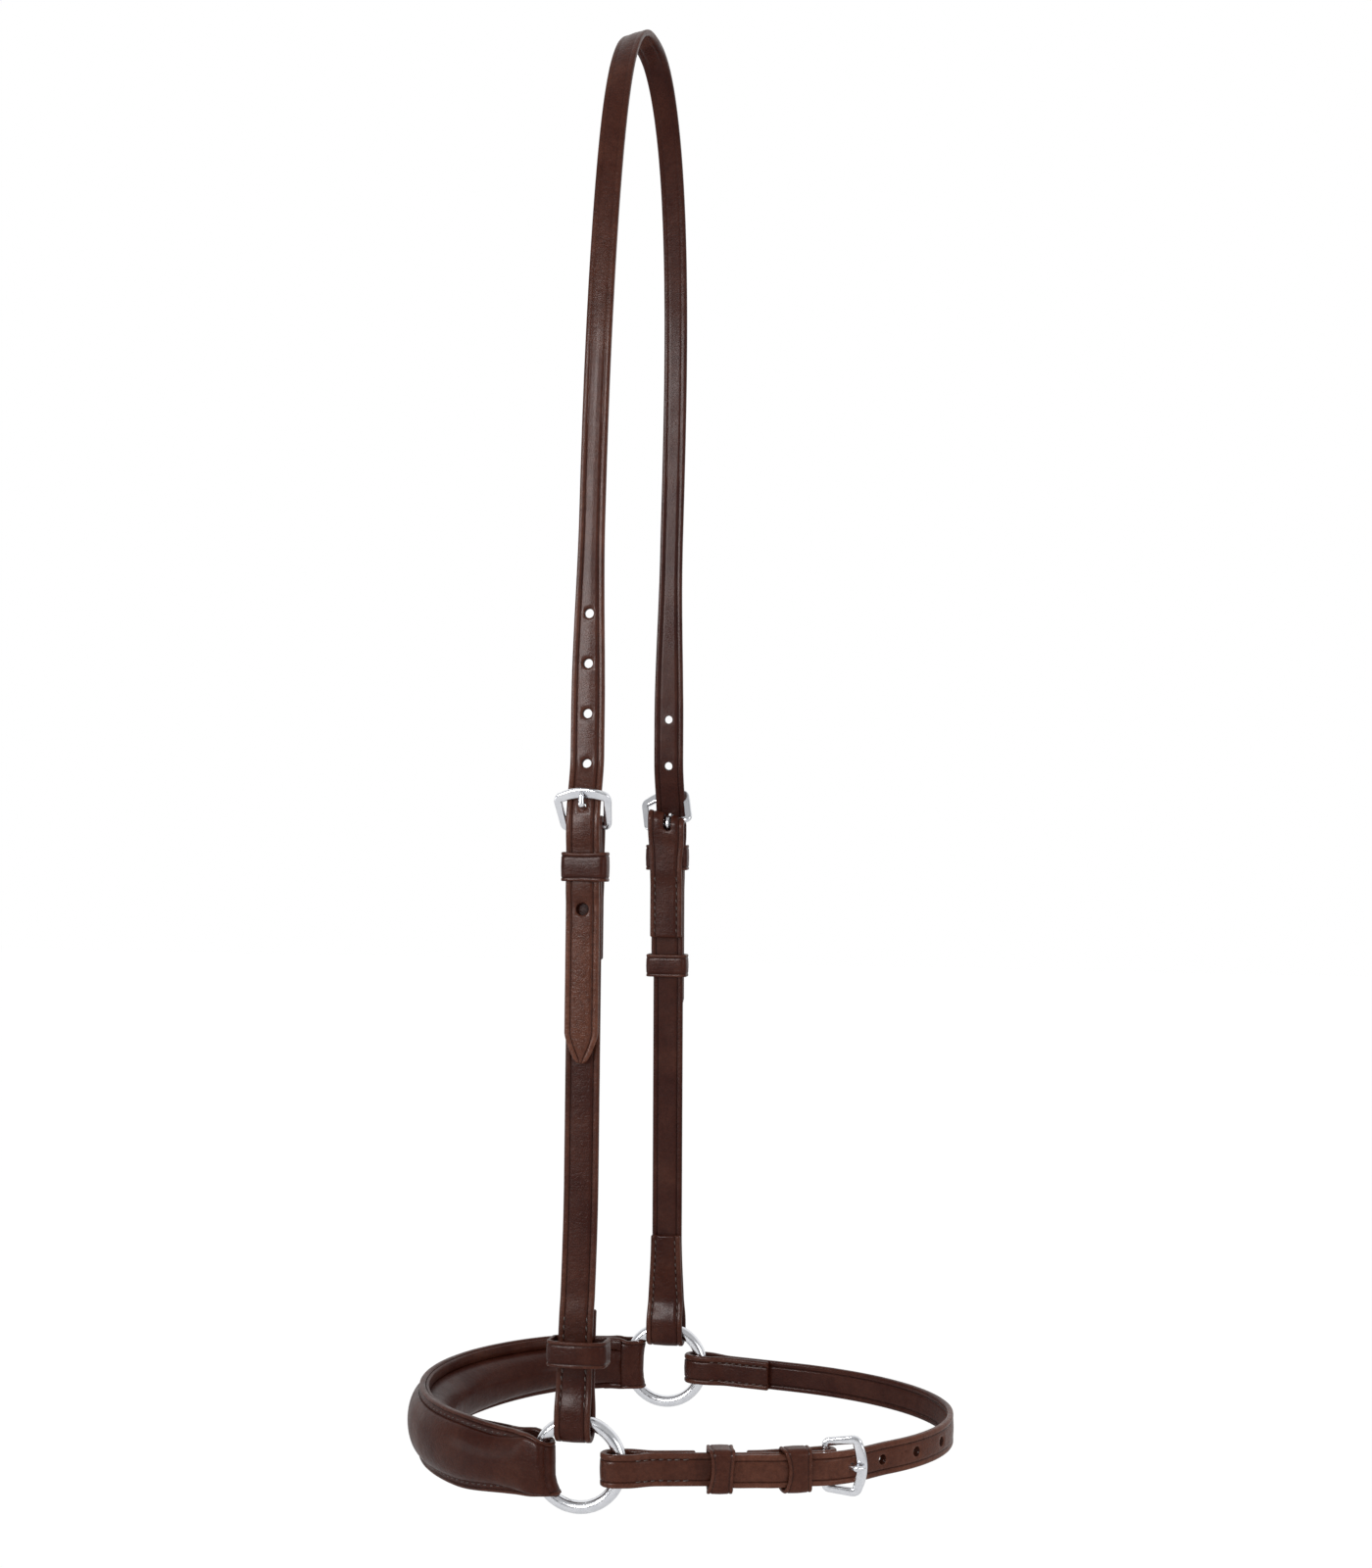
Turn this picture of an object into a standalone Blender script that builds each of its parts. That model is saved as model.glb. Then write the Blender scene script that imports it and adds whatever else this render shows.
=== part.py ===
"""A drop noseband for a horse's bridle, made of leather straps, buckles and two rings.

The headpiece goes over the poll and buckles to two cheekpieces. Each cheekpiece is folded
round a ring, and the padded nosepiece and the two halves of the chin strap are folded round
the same rings. All sizes are in metres and all angles in radians. +Z is up, -X is the nose
side, +X is the chin side, -Y is the near side and +Y the far side. The origin is where the
crown of the headpiece rests on the horse's poll.
"""

import math

import bmesh
import bpy
from mathutils import Matrix, Vector

# Leather and fits
LEATHER = 0.0024
FIT_GAP = 0.0003
LAYER_GAP = 0.0004
PAD_GAP = 0.0007
EDGE_ROUND = 0.0004
FINE_EDGE = 0.00025
CUT_OVERRUN = 0.002
STRAP_JOIN = 0.028

# Rings
RING_OUTER_DIAMETER = 0.035
RING_WIRE_DIAMETER = 0.0046
RING_HALF_SPAN = 0.078
RING_FOLD_CLEARANCE = 0.0005

# Headpiece over the poll
POLL_HEIGHT = 0.5250
CHEEK_LEAN = math.radians(1.0)
ARCH_BASE = 0.340
ARCH_POWER = 2.5
CROWN_SET_BACK = 0.0036
SET_BACK_START = 0.270
SET_BACK_END = 0.500
CROWN_WIDTH = 0.0094
BILLET_WIDTH = 0.0121
CROWN_WIDTH_TOP = 0.335
BILLET_WIDTH_TOP = 0.265
BILLET_BELOW_BUCKLE = 0.0834
BILLET_TIP_LENGTH = 0.010
BILLET_TIP_WIDTH = 0.0030
HOLE_DIAMETER = 0.0033
HOLE_FROM_BAR = 0.0045
NEAR_HOLE_PITCH = 0.0178
FAR_HOLE_PITCH = 0.0192
NEAR_HOLES_ABOVE = 4
FAR_HOLES_ABOVE = 2
HOLES_BELOW_PRONG = 2
BELOW_HOLE_PITCH = 0.0168
HEAD_STATION = 0.012
HEAD_BUCKLE_STATION = 0.0024

# Cheekpieces
CHEEK_WIDTH = 0.0123
CHEEK_FOOT_WIDTH = 0.0130
CHEEK_BUCKLE_HEIGHT = 0.2246
CHEEK_RING_TURN_BACK = 0.054
CHEEK_TURN_BACK_LENGTH = 0.0471

# Buckles, the same on the cheekpieces and the chin strap
HEEL_BAR_DIAMETER = 0.0024
FRAME_BAR_DIAMETER = 0.0026
HEEL_BAR_CLEARANCE = 0.00035
BUCKLE_LENGTH = 0.0125
CHEEK_BUCKLE_WIDTH = 0.0155
CHIN_BUCKLE_WIDTH = 0.0162
BUCKLE_HEEL_NARROWER = 0.0012
BUCKLE_BOW = 0.0013
BUCKLE_CORNER_RADIUS = 0.0022
HEEL_BAR_SHARES = (-1.0, -0.5, 0.0, 0.5, 1.0)
FRONT_BAR_SHARES = (0.75, 0.4, 0.0, -0.4, -0.75)
PRONG_DIAMETER = 0.0018
PRONG_EYE_GAP = 0.0003
PRONG_EYE_TURN = math.radians(285.0)
PRONG_RISE_START = 0.0074
PRONG_RISE_END = 0.0110
PRONG_PAST_BAR = 0.0005
PRONG_SLOT_WIDTH = 0.0030
PRONG_SLOT_SPARE = 0.0006
PRONG_HOLE_START = 0.0055
PRONG_HOLE_END = 0.0118
BILLET_SETTLE = 0.024

# Keepers
KEEPER_THICKNESS = 0.0012
KEEPER_SIDE_CLEARANCE = 0.00035
KEEPER_CORNER = 0.0010
KEEPER_RAMP = 0.0060
CHEEK_KEEPER_BELOW_BUCKLE = 0.0142
CHEEK_KEEPER_LENGTH = 0.0104
RUNNER_THICKNESS = 0.0013
CHEEK_RUNNER_BELOW_BUCKLE = 0.0590
CHEEK_RUNNER_LENGTH = 0.0092

# Open loop on the near cheekpiece for the bridle's own cheek strap
BRIDLE_LOOP_HEIGHT = 0.0404
BRIDLE_LOOP_LENGTH = 0.0090
BRIDLE_LOOP_INNER_WIDTH = 0.0172
BRIDLE_LOOP_INNER_DEPTH = 0.0058
BRIDLE_LOOP_BOW = 0.0016
BRIDLE_LOOP_THICKNESS = 0.0014

# Nosepiece
NOSE_REACH = 0.0759
NOSE_TOP = 0.0122
NOSE_BOTTOM = 0.0146
NOSE_END_TOP = 0.0108
NOSE_NEAR_END_BOTTOM = 0.0114
NOSE_FAR_END_BOTTOM = 0.0102
NOSE_TONGUE_TOP = 0.0073
NOSE_TONGUE_BOTTOM = 0.0092
NOSE_SHOULDER = 0.0215
NOSE_TONGUE_END = 0.0178
NOSE_NEAR_FULL = 0.040
NOSE_FAR_FULL = 0.118
NOSE_JOIN = 0.0245
NOSE_TURN_BACK = 0.0270
NOSE_STATION = 0.0110
PANEL_BORDER = 0.0034
PANEL_RIM = 0.0026
PANEL_THICKNESS = 0.0014
PANEL_RISE = 0.0042
PANEL_END_RISE = 0.0024
PANEL_START = 0.0140
PANEL_FULL_RISE = 0.055
PANEL_EDGE_POWER = 1.25
LINING_THICKNESS = 0.0013
LINING_DEPTH = 0.0078
LINING_END_DEPTH = 0.0032
LINING_RAMP_START = 0.029
LINING_FULL = 0.044
LINING_BORDER = 0.0018
LINING_RIM = 0.0016
LINING_EDGE_POWER = 0.90

# Chin strap
CHIN_DROP = 0.0007
CHIN_CENTRE = 0.025
CHIN_REACH = 0.1226
CHIN_HALF_WIDTH = 0.0721
CHIN_STRAP_WIDTH = 0.0116
CHIN_BUCKLE_PLACE = 0.0886
CHIN_RING_TURN_BACK = 0.042
CHIN_TURN_BACK_LENGTH = 0.0286
CHIN_FAR_TURN_BACK = 0.046
CHIN_BILLET_PAST_BUCKLE = 0.0381
CHIN_HOLE_PITCH = 0.0169
CHIN_HOLE_COUNT = 3
CHIN_KEEPER_FROM_BUCKLE = 0.0121
CHIN_RUNNER_FROM_BUCKLE = 0.0381
CHIN_KEEPER_LENGTH = 0.0104
CHIN_KEEPER_THICKNESS = 0.0013
CHIN_KEEPER_SIDE_CLEARANCE = 0.0006
CHIN_STATION = 0.008
CHIN_BUCKLE_STATION = 0.0048

# Counts
RING_SEGMENTS = 32
WIRE_SEGMENTS = 10
FOLD_SEGMENTS = 6
NOSE_COLUMNS = 4
RAMP_STEPS = 3
SHORT_RAMP_STEPS = 2
CORNER_STEPS = 2
PATH_SEGMENTS = 90
LEAN_STEPS = 17
HOLE_SIDES = 12
SECTION_SEGMENTS = 8
FRAME_CORNER_STEPS = 3
PRONG_EYE_STEPS = 12
PRONG_BEND_STEPS = 5
TUBE_RESOLUTION = 2
BAR_SEARCH_STEPS = 60

# Angles above which a bevel or a shading edge is made
BEVEL_ANGLE = math.radians(50.0)
SHARP_ANGLE = math.radians(40.0)

# Values worked out from the sizes above
RING_WIRE_R = RING_WIRE_DIAMETER / 2
RING_MEAN_R = (RING_OUTER_DIAMETER - RING_WIRE_DIAMETER) / 2
RING_INNER_R = RING_MEAN_R - RING_WIRE_R
RING_CENTRE_Z = -POLL_HEIGHT
SKIN = LEATHER / 2
LAYER_OFFSET = (LEATHER + LAYER_GAP) / 2
KEEPER_OFFSET = (LEATHER + KEEPER_THICKNESS) / 2 + FIT_GAP
CHIN_KEEPER_OFFSET = (LEATHER + CHIN_KEEPER_THICKNESS) / 2 + FIT_GAP
LOOP_OFFSET = (LEATHER + BRIDLE_LOOP_THICKNESS) / 2 + FIT_GAP
RING_FOLD_OFFSET = RING_WIRE_R + RING_FOLD_CLEARANCE + SKIN
HEEL_BAR_R = HEEL_BAR_DIAMETER / 2
FRAME_BAR_R = FRAME_BAR_DIAMETER / 2
BAR_FOLD_OFFSET = HEEL_BAR_R + HEEL_BAR_CLEARANCE + SKIN
BILLET_OVER_BAR = BAR_FOLD_OFFSET + LEATHER + FIT_GAP
PRONG_R = PRONG_DIAMETER / 2
PRONG_EYE_R = HEEL_BAR_R + PRONG_EYE_GAP + PRONG_R
NOSE_RAMP = NOSE_JOIN - RING_OUTER_DIAMETER / 2
NOSE_RAMP_PLACES = [NOSE_JOIN - NOSE_RAMP * step / RAMP_STEPS for step in range(RAMP_STEPS + 1)]
LINING_START = NOSE_JOIN - NOSE_RAMP * (RAMP_STEPS - 1) / RAMP_STEPS
BILLET_TIP_HEIGHT = CHEEK_BUCKLE_HEIGHT - BILLET_BELOW_BUCKLE
CHEEK_KEEPER_HEIGHT = CHEEK_BUCKLE_HEIGHT - CHEEK_KEEPER_BELOW_BUCKLE
CHEEK_RUNNER_HEIGHT = CHEEK_BUCKLE_HEIGHT - CHEEK_RUNNER_BELOW_BUCKLE
CHEEK_BUCKLE_TURN_BACK = CHEEK_BUCKLE_HEIGHT - CHEEK_TURN_BACK_LENGTH
CHIN_KEEPER_PLACE = CHIN_BUCKLE_PLACE - CHIN_KEEPER_FROM_BUCKLE
CHIN_RUNNER_PLACE = CHIN_BUCKLE_PLACE - CHIN_RUNNER_FROM_BUCKLE
CHIN_BUCKLE_TURN_BACK = CHIN_BUCKLE_PLACE - CHIN_TURN_BACK_LENGTH
CHIN_BILLET_TIP = CHIN_BUCKLE_PLACE - CHIN_BILLET_PAST_BUCKLE

LEATHER_COLOUR = (0.075, 0.028, 0.019, 1.0)
LEATHER_ROUGHNESS = 0.42
LINING_COLOUR = (0.062, 0.024, 0.017, 1.0)
LINING_ROUGHNESS = 0.50
FILLER_COLOUR = (0.30, 0.26, 0.20, 1.0)
FILLER_ROUGHNESS = 0.90
STEEL_COLOUR = (0.75, 0.76, 0.78, 1.0)
STEEL_ROUGHNESS = 0.18

PART_COLLECTION = "drop_noseband"
CUTTER_COLLECTION = "cutters"


def smooth(share):
    """Ease from 0 to 1."""
    share = min(max(share, 0.0), 1.0)
    return share * share * (3.0 - 2.0 * share)


def ease(start, end, low, high, place):
    """A value that goes smoothly from low at start to high at end."""
    return low + (high - low) * smooth((place - start) / (end - start))


class StrapPath:
    """A centre line in one plane, read by its length from the first point.

    across is the direction over the strap's width. Outward is the side away from the horse.
    """

    def __init__(self, points, across):
        self.points = [Vector(point) for point in points]
        self.across = Vector(across)
        self.marks = [0.0]
        for first, second in zip(self.points, self.points[1:]):
            self.marks.append(self.marks[-1] + (second - first).length)
        self.length = self.marks[-1]

    def segment(self, place):
        index = 0
        while index < len(self.marks) - 2 and self.marks[index + 1] < place:
            index += 1
        return index

    def point(self, place):
        index = self.segment(place)
        span = self.marks[index + 1] - self.marks[index]
        share = (place - self.marks[index]) / span
        return self.points[index].lerp(self.points[index + 1], share)

    def along(self, place):
        reach = EDGE_ROUND
        return (self.point(place + reach) - self.point(place - reach)).normalized()

    def outward(self, place):
        return self.across.cross(self.along(place)).normalized()

    def matrix(self, place, tilt=0.0):
        """Local X across the strap, Y along it and Z outward, turned about X by tilt."""
        along = self.along(place)
        outward = self.outward(place)
        turn = Matrix((self.across, along, outward)).transposed().to_4x4()
        return Matrix.Translation(self.point(place)) @ turn @ Matrix.Rotation(tilt, 4, "X")

    def locate(self, place, rise, sideways):
        return self.point(place) + self.outward(place) * rise + self.across * sideways


def head_path(side):
    """From one ring up the cheek, over the poll and down to the other ring."""
    near_half = [Vector((0.0, -RING_HALF_SPAN, RING_CENTRE_Z))]
    arch_half_width = RING_HALF_SPAN - ARCH_BASE * math.tan(CHEEK_LEAN)
    for step in range(1, LEAN_STEPS):
        share = step / LEAN_STEPS
        inward = RING_HALF_SPAN + (arch_half_width - RING_HALF_SPAN) * share
        near_half.append(Vector((0.0, -inward, RING_CENTRE_Z + ARCH_BASE * share)))
    crown = SKIN - (RING_CENTRE_Z + ARCH_BASE)
    for step in range(PATH_SEGMENTS + 1):
        angle = math.pi / 2 * step / PATH_SEGMENTS
        reach = math.cos(angle) ** (2 / ARCH_POWER)
        rise = math.sin(angle) ** (2 / ARCH_POWER)
        height = RING_CENTRE_Z + ARCH_BASE + crown * rise
        near_half.append(Vector((0.0, -arch_half_width * reach, height)))
    for point in near_half:
        height = point.z - RING_CENTRE_Z
        point.x = ease(SET_BACK_START, SET_BACK_END, 0.0, CROWN_SET_BACK, height)
    far_half = [Vector((point.x, -point.y, point.z)) for point in reversed(near_half[:-1])]
    points = near_half + far_half
    if side > 0:
        return StrapPath(reversed(points), (-1.0, 0.0, 0.0))
    return StrapPath(points, (1.0, 0.0, 0.0))


def chin_path(side):
    """From one ring round behind the chin groove to the other ring, level."""
    reach = CHIN_REACH - CHIN_CENTRE
    ahead = (RING_MEAN_R - CHIN_CENTRE) / reach
    aside = RING_HALF_SPAN / CHIN_HALF_WIDTH
    touch = math.atan2(aside, ahead) - math.acos(1.0 / math.hypot(ahead, aside))
    height = RING_CENTRE_Z - CHIN_DROP
    near_half = []
    for step in range(PATH_SEGMENTS + 1):
        angle = touch * (1.0 - step / PATH_SEGMENTS)
        forward = CHIN_CENTRE + reach * math.cos(angle)
        near_half.append(Vector((forward, -CHIN_HALF_WIDTH * math.sin(angle), height)))
    wire = Vector((RING_MEAN_R, -RING_HALF_SPAN, height))
    slope = (near_half[0] - wire).normalized()
    start = wire - slope * (RING_MEAN_R / slope.x)
    near_half.insert(0, start)
    far_half = [Vector((point.x, -point.y, point.z)) for point in reversed(near_half[:-1])]
    points = near_half + far_half
    if side > 0:
        return StrapPath(reversed(points), (0.0, 0.0, 1.0))
    return StrapPath(points, (0.0, 0.0, -1.0))


def nose_path():
    """From the near ring round the front of the nose to the far ring, level."""
    ahead = RING_MEAN_R / NOSE_REACH
    half_width = RING_HALF_SPAN / math.sqrt(1.0 - ahead * ahead)
    touch = math.acos(ahead)
    near_half = []
    for step in range(PATH_SEGMENTS + 1):
        angle = touch * (1.0 - step / PATH_SEGMENTS)
        forward = -NOSE_REACH * math.cos(angle)
        near_half.append(Vector((forward, -half_width * math.sin(angle), RING_CENTRE_Z)))
    slope = (near_half[1] - near_half[0]).normalized()
    start = near_half[0] + slope * (RING_MEAN_R / slope.x)
    near_half.insert(0, start)
    far_half = [Vector((point.x, -point.y, point.z)) for point in reversed(near_half[:-1])]
    return StrapPath(near_half + far_half, (0.0, 0.0, 1.0))


def new_collection(name):
    collection = bpy.data.collections.new(name)
    bpy.context.scene.collection.children.link(collection)
    return collection


def new_material(name, colour, roughness, metallic):
    material = bpy.data.materials.new(name)
    material.use_nodes = True
    shader = material.node_tree.nodes["Principled BSDF"]
    shader.inputs["Base Color"].default_value = colour
    shader.inputs["Roughness"].default_value = roughness
    shader.inputs["Metallic"].default_value = metallic
    material.diffuse_color = colour
    return material


def place_object(name, data, matrix, material, collection):
    piece = bpy.data.objects.new(name, data)
    collection.objects.link(piece)
    piece.matrix_world = matrix
    if material is not None:
        data.materials.append(material)
    return piece


def surface(name, rows, origin, round_rows=False, capped=False):
    """A mesh of quads between rows of points, with its own origin."""
    mesh = bmesh.new()
    lines = [[mesh.verts.new(point - origin) for point in row] for row in rows]
    for first, second in zip(lines, lines[1:]):
        count = len(first)
        last = count if round_rows else count - 1
        for index in range(last):
            following = (index + 1) % count
            corners = (first[index], first[following], second[following], second[index])
            mesh.faces.new(corners)
    if capped:
        mesh.faces.new(lines[0])
        mesh.faces.new(lines[-1])
        bmesh.ops.recalc_face_normals(mesh, faces=mesh.faces)
    data = bpy.data.meshes.new(name)
    mesh.to_mesh(data)
    mesh.free()
    return data


def thicken(piece, thickness, offset=0.0, edge=EDGE_ROUND):
    """Give a surface its thickness and take the sharp edges off."""
    solid = piece.modifiers.new("thickness", "SOLIDIFY")
    solid.thickness = thickness
    solid.offset = offset
    solid.use_even_offset = True
    bevel = piece.modifiers.new("edges", "BEVEL")
    bevel.width = edge
    bevel.segments = 1
    bevel.limit_method = "ANGLE"
    bevel.angle_limit = BEVEL_ANGLE


def shade(piece):
    piece.data.shade_smooth()
    piece.data.set_sharp_from_angle(angle=SHARP_ANGLE)


def strap(name, path, line, half_width, origin, material, collection, shift=None, columns=2):
    """A strap along path. line holds (place, rise) of its middle layer, end to end.

    half_width(place, rise) gives how far it goes to each side. shift moves a point of the
    strap where it has to follow something round.
    """
    rows = []
    for place, rise in line:
        low, high = half_width(place, rise)
        row = []
        for step in range(columns + 1):
            sideways = -low + (low + high) * step / columns
            point = path.locate(place, rise, sideways)
            if shift is not None:
                point = point + shift(place, sideways)
            row.append(point)
        rows.append(row)
    data = surface(name, rows, origin)
    piece = place_object(name, data, Matrix.Translation(origin), material, collection)
    thicken(piece, LEATHER)
    shade(piece)
    return piece


def glide(start, end, steps):
    """Points (place, rise) from start to end with a smooth change of rise, start left out."""
    points = []
    for step in range(1, steps + 1):
        share = step / steps
        place = start[0] + (end[0] - start[0]) * share
        points.append((place, start[1] + (end[1] - start[1]) * smooth(share)))
    return points


def half_turn(centre, radius, from_outside, opens_forward):
    """A fold of a strap round a bar or wire, as (place, rise) points.

    opens_forward is True where the strap's layers run on towards larger places.
    """
    points = []
    for step in range(FOLD_SEGMENTS + 1):
        angle = math.pi / 2 - math.pi * step / FOLD_SEGMENTS
        reach = radius * math.cos(angle)
        rise = radius * math.sin(angle)
        place = centre - reach if opens_forward else centre + reach
        points.append((place, rise if from_outside else -rise))
    return points


def fold_stop(reach_sideways):
    """How near the ring's middle a straight fold may come before it meets the wire's side."""
    clear = RING_INNER_R * RING_INNER_R - reach_sideways * reach_sideways
    return math.sqrt(clear) - RING_FOLD_CLEARANCE


def ring_fold(stop, inner_rise, outer_rise, join):
    """The fold round a ring, from the inner layer to the outer one."""
    centre = stop + RING_FOLD_OFFSET - SKIN
    straight_end = RING_OUTER_DIAMETER / 2
    points = [(join, inner_rise)]
    points += glide((join, inner_rise), (straight_end, -RING_FOLD_OFFSET), RAMP_STEPS)
    points += half_turn(centre, RING_FOLD_OFFSET, False, True)
    points += [(straight_end, RING_FOLD_OFFSET)]
    points += glide((straight_end, RING_FOLD_OFFSET), (join, outer_rise), RAMP_STEPS)
    return points


def billet_rise(heel, under_tip, keeper_from, keeper_to, keeper_rise, root_rise):
    """How high a billet lies over the strap that it is buckled to, as a function of place.

    It lies lowest near its tip, higher over the sewn-in keeper, highest over the bar's fold,
    and comes down beyond the buckle to root_rise.
    """
    fold_from = heel - BAR_FOLD_OFFSET
    fold_to = heel + BAR_FOLD_OFFSET - SKIN

    ramp_end = keeper_from - LEATHER

    def rise(place):
        if place <= keeper_from:
            return ease(ramp_end - KEEPER_RAMP, ramp_end, under_tip, keeper_rise, place)
        if place <= keeper_to:
            return keeper_rise
        if place <= fold_to:
            return ease(keeper_to, fold_from, keeper_rise, BILLET_OVER_BAR, place)
        return ease(fold_to, fold_to + BILLET_SETTLE, BILLET_OVER_BAR, root_rise, place)

    return rise


def places(marks, spacing):
    """The marks in order with evenly spaced places between them."""
    result = [marks[0]]
    for first, second in zip(marks, marks[1:]):
        steps = max(1, round((second - first) / spacing))
        result += [first + (second - first) * step / steps for step in range(1, steps + 1)]
    return result


def cut(piece, cutter):
    modifier = piece.modifiers.new("cut_" + cutter.name, "BOOLEAN")
    modifier.operation = "DIFFERENCE"
    modifier.object = cutter


def stadium_cutter(name, matrix, first, last, diameter, low, high, cutters):
    """A round-ended cutter through local Z, from first to last along local Y."""
    mesh = bmesh.new()
    depth = high - low
    radius = diameter / 2
    bmesh.ops.create_cone(
        mesh, cap_ends=True, segments=HOLE_SIDES, radius1=radius, radius2=radius, depth=depth
    )
    stretch = (last - first) / 2 - radius
    middle = Vector((0.0, (first + last) / 2, (low + high) / 2))
    for vertex in mesh.verts:
        vertex.co.y += math.copysign(max(stretch, 0.0), vertex.co.y)
        vertex.co += middle
    data = bpy.data.meshes.new(name)
    mesh.to_mesh(data)
    mesh.free()
    return hide_cutter(place_object(name, data, matrix, None, cutters))


def box_cutter(name, matrix, low, high, cutters):
    mesh = bmesh.new()
    bmesh.ops.create_cube(mesh, size=1.0)
    size = Vector(high) - Vector(low)
    middle = (Vector(high) + Vector(low)) / 2
    for vertex in mesh.verts:
        vertex.co = middle + Matrix.Diagonal(size) @ vertex.co
    data = bpy.data.meshes.new(name)
    mesh.to_mesh(data)
    mesh.free()
    return hide_cutter(place_object(name, data, matrix, None, cutters))


def hide_cutter(cutter):
    cutter.hide_render = True
    cutter.display_type = "WIRE"
    return cutter


def punch(piece, path, rise, marks, cutters):
    """Round holes through a strap at the given places."""
    for index, mark in enumerate(marks):
        matrix = path.matrix(mark)
        middle = rise(mark)
        reach = SKIN + CUT_OVERRUN
        name = f"{piece.name}_hole_{index + 1}"
        radius = HOLE_DIAMETER / 2
        low, high = middle - reach, middle + reach
        cutter = stadium_cutter(name, matrix, -radius, radius, HOLE_DIAMETER, low, high, cutters)
        cut(piece, cutter)


def prong_hole(piece, path, heel, tilt, cutters):
    """The longer hole that the prong goes through, square to the strap."""
    matrix = path.matrix(heel, tilt)
    name = piece.name + "_prong_hole_" + str(len(piece.modifiers))
    low = 0.0
    high = BILLET_OVER_BAR + LEATHER + CUT_OVERRUN
    cutter = stadium_cutter(
        name, matrix, PRONG_HOLE_START, PRONG_HOLE_END, HOLE_DIAMETER, low, high, cutters
    )
    cut(piece, cutter)


def prong_slot(piece, path, heel, cutters):
    """The slot in the strap's fold where the prong's eye turns on the bar."""
    reach = PRONG_EYE_R + PRONG_R + PRONG_SLOT_SPARE
    side = PRONG_SLOT_WIDTH / 2
    depth = BAR_FOLD_OFFSET + SKIN + CUT_OVERRUN
    low = (-side, -reach, -depth)
    high = (side, depth, depth)
    cut(piece, box_cutter(piece.name + "_prong_slot", path.matrix(heel), low, high, cutters))


def band_outline(width, low, high, corner, bow=0.0):
    """A closed loop of (x, z) points: a rounded rectangle whose outer side may bow out."""
    half = width / 2
    points = []
    for turn, (centre_x, centre_z) in enumerate(
        (
            (half - corner, high - corner),
            (-half + corner, high - corner),
            (-half + corner, low + corner),
            (half - corner, low + corner),
        )
    ):
        for step in range(CORNER_STEPS + 1):
            angle = math.pi / 2 * (turn + step / CORNER_STEPS)
            x = centre_x + corner * math.cos(angle)
            z = centre_z + corner * math.sin(angle)
            points.append((x, z))
        if turn == 0 and bow > 0:
            for step in range(1, SECTION_SEGMENTS):
                points.append(((half - corner) * (1 - 2 * step / SECTION_SEGMENTS), high))
    if bow > 0:
        bowed = []
        for x, z in points:
            lift = bow * (1 - (x / half) ** 2) if z > high - corner else 0.0
            bowed.append((x, z + lift))
        points = bowed
    return points


def keeper(name, matrix, width, low, high, length, thickness, material, collection, bow=0.0):
    """A leather band whose opening goes from low to high outward and is width across."""
    outline = band_outline(width, low, high, KEEPER_CORNER, bow)
    rows = []
    for along in (-length / 2, length / 2):
        rows.append([Vector((x, along, z)) for x, z in outline])
    data = surface(name, rows, Vector((0.0, 0.0, 0.0)), round_rows=True)
    piece = place_object(name, data, matrix, material, collection)
    thicken(piece, thickness, offset=-1.0, edge=FINE_EDGE)
    shade(piece)
    return piece


def tube(name, points, radii, cyclic, matrix, material, collection):
    """A round wire through the points, with its own radius at each of them."""
    data = bpy.data.curves.new(name, "CURVE")
    data.dimensions = "3D"
    data.bevel_depth = max(radii)
    data.bevel_resolution = TUBE_RESOLUTION
    data.use_fill_caps = not cyclic
    spline = data.splines.new("POLY")
    spline.points.add(len(points) - 1)
    spline.use_cyclic_u = cyclic
    spline.use_smooth = True
    for handle, point, radius in zip(spline.points, points, radii):
        handle.co = (*point, 1.0)
        handle.radius = radius / data.bevel_depth
    return place_object(name, data, matrix, material, collection)


def front_bar_rise(path, matrix, rise, heel):
    """How far out the front bar's middle lies, so that it rests on the billet."""
    clear = SKIN + FIT_GAP + FRAME_BAR_R
    local = matrix.inverted()
    highest = 0.0
    for step in range(2 * BAR_SEARCH_STEPS + 1):
        place = heel + BUCKLE_LENGTH * step / BAR_SEARCH_STEPS
        point = local @ path.locate(place, rise(place), 0.0)
        nearest = min(max(point.y, BUCKLE_LENGTH - BUCKLE_BOW), BUCKLE_LENGTH)
        aside = point.y - nearest
        if abs(aside) < clear:
            highest = max(highest, point.z + math.sqrt(clear * clear - aside * aside))
    return highest


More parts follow.
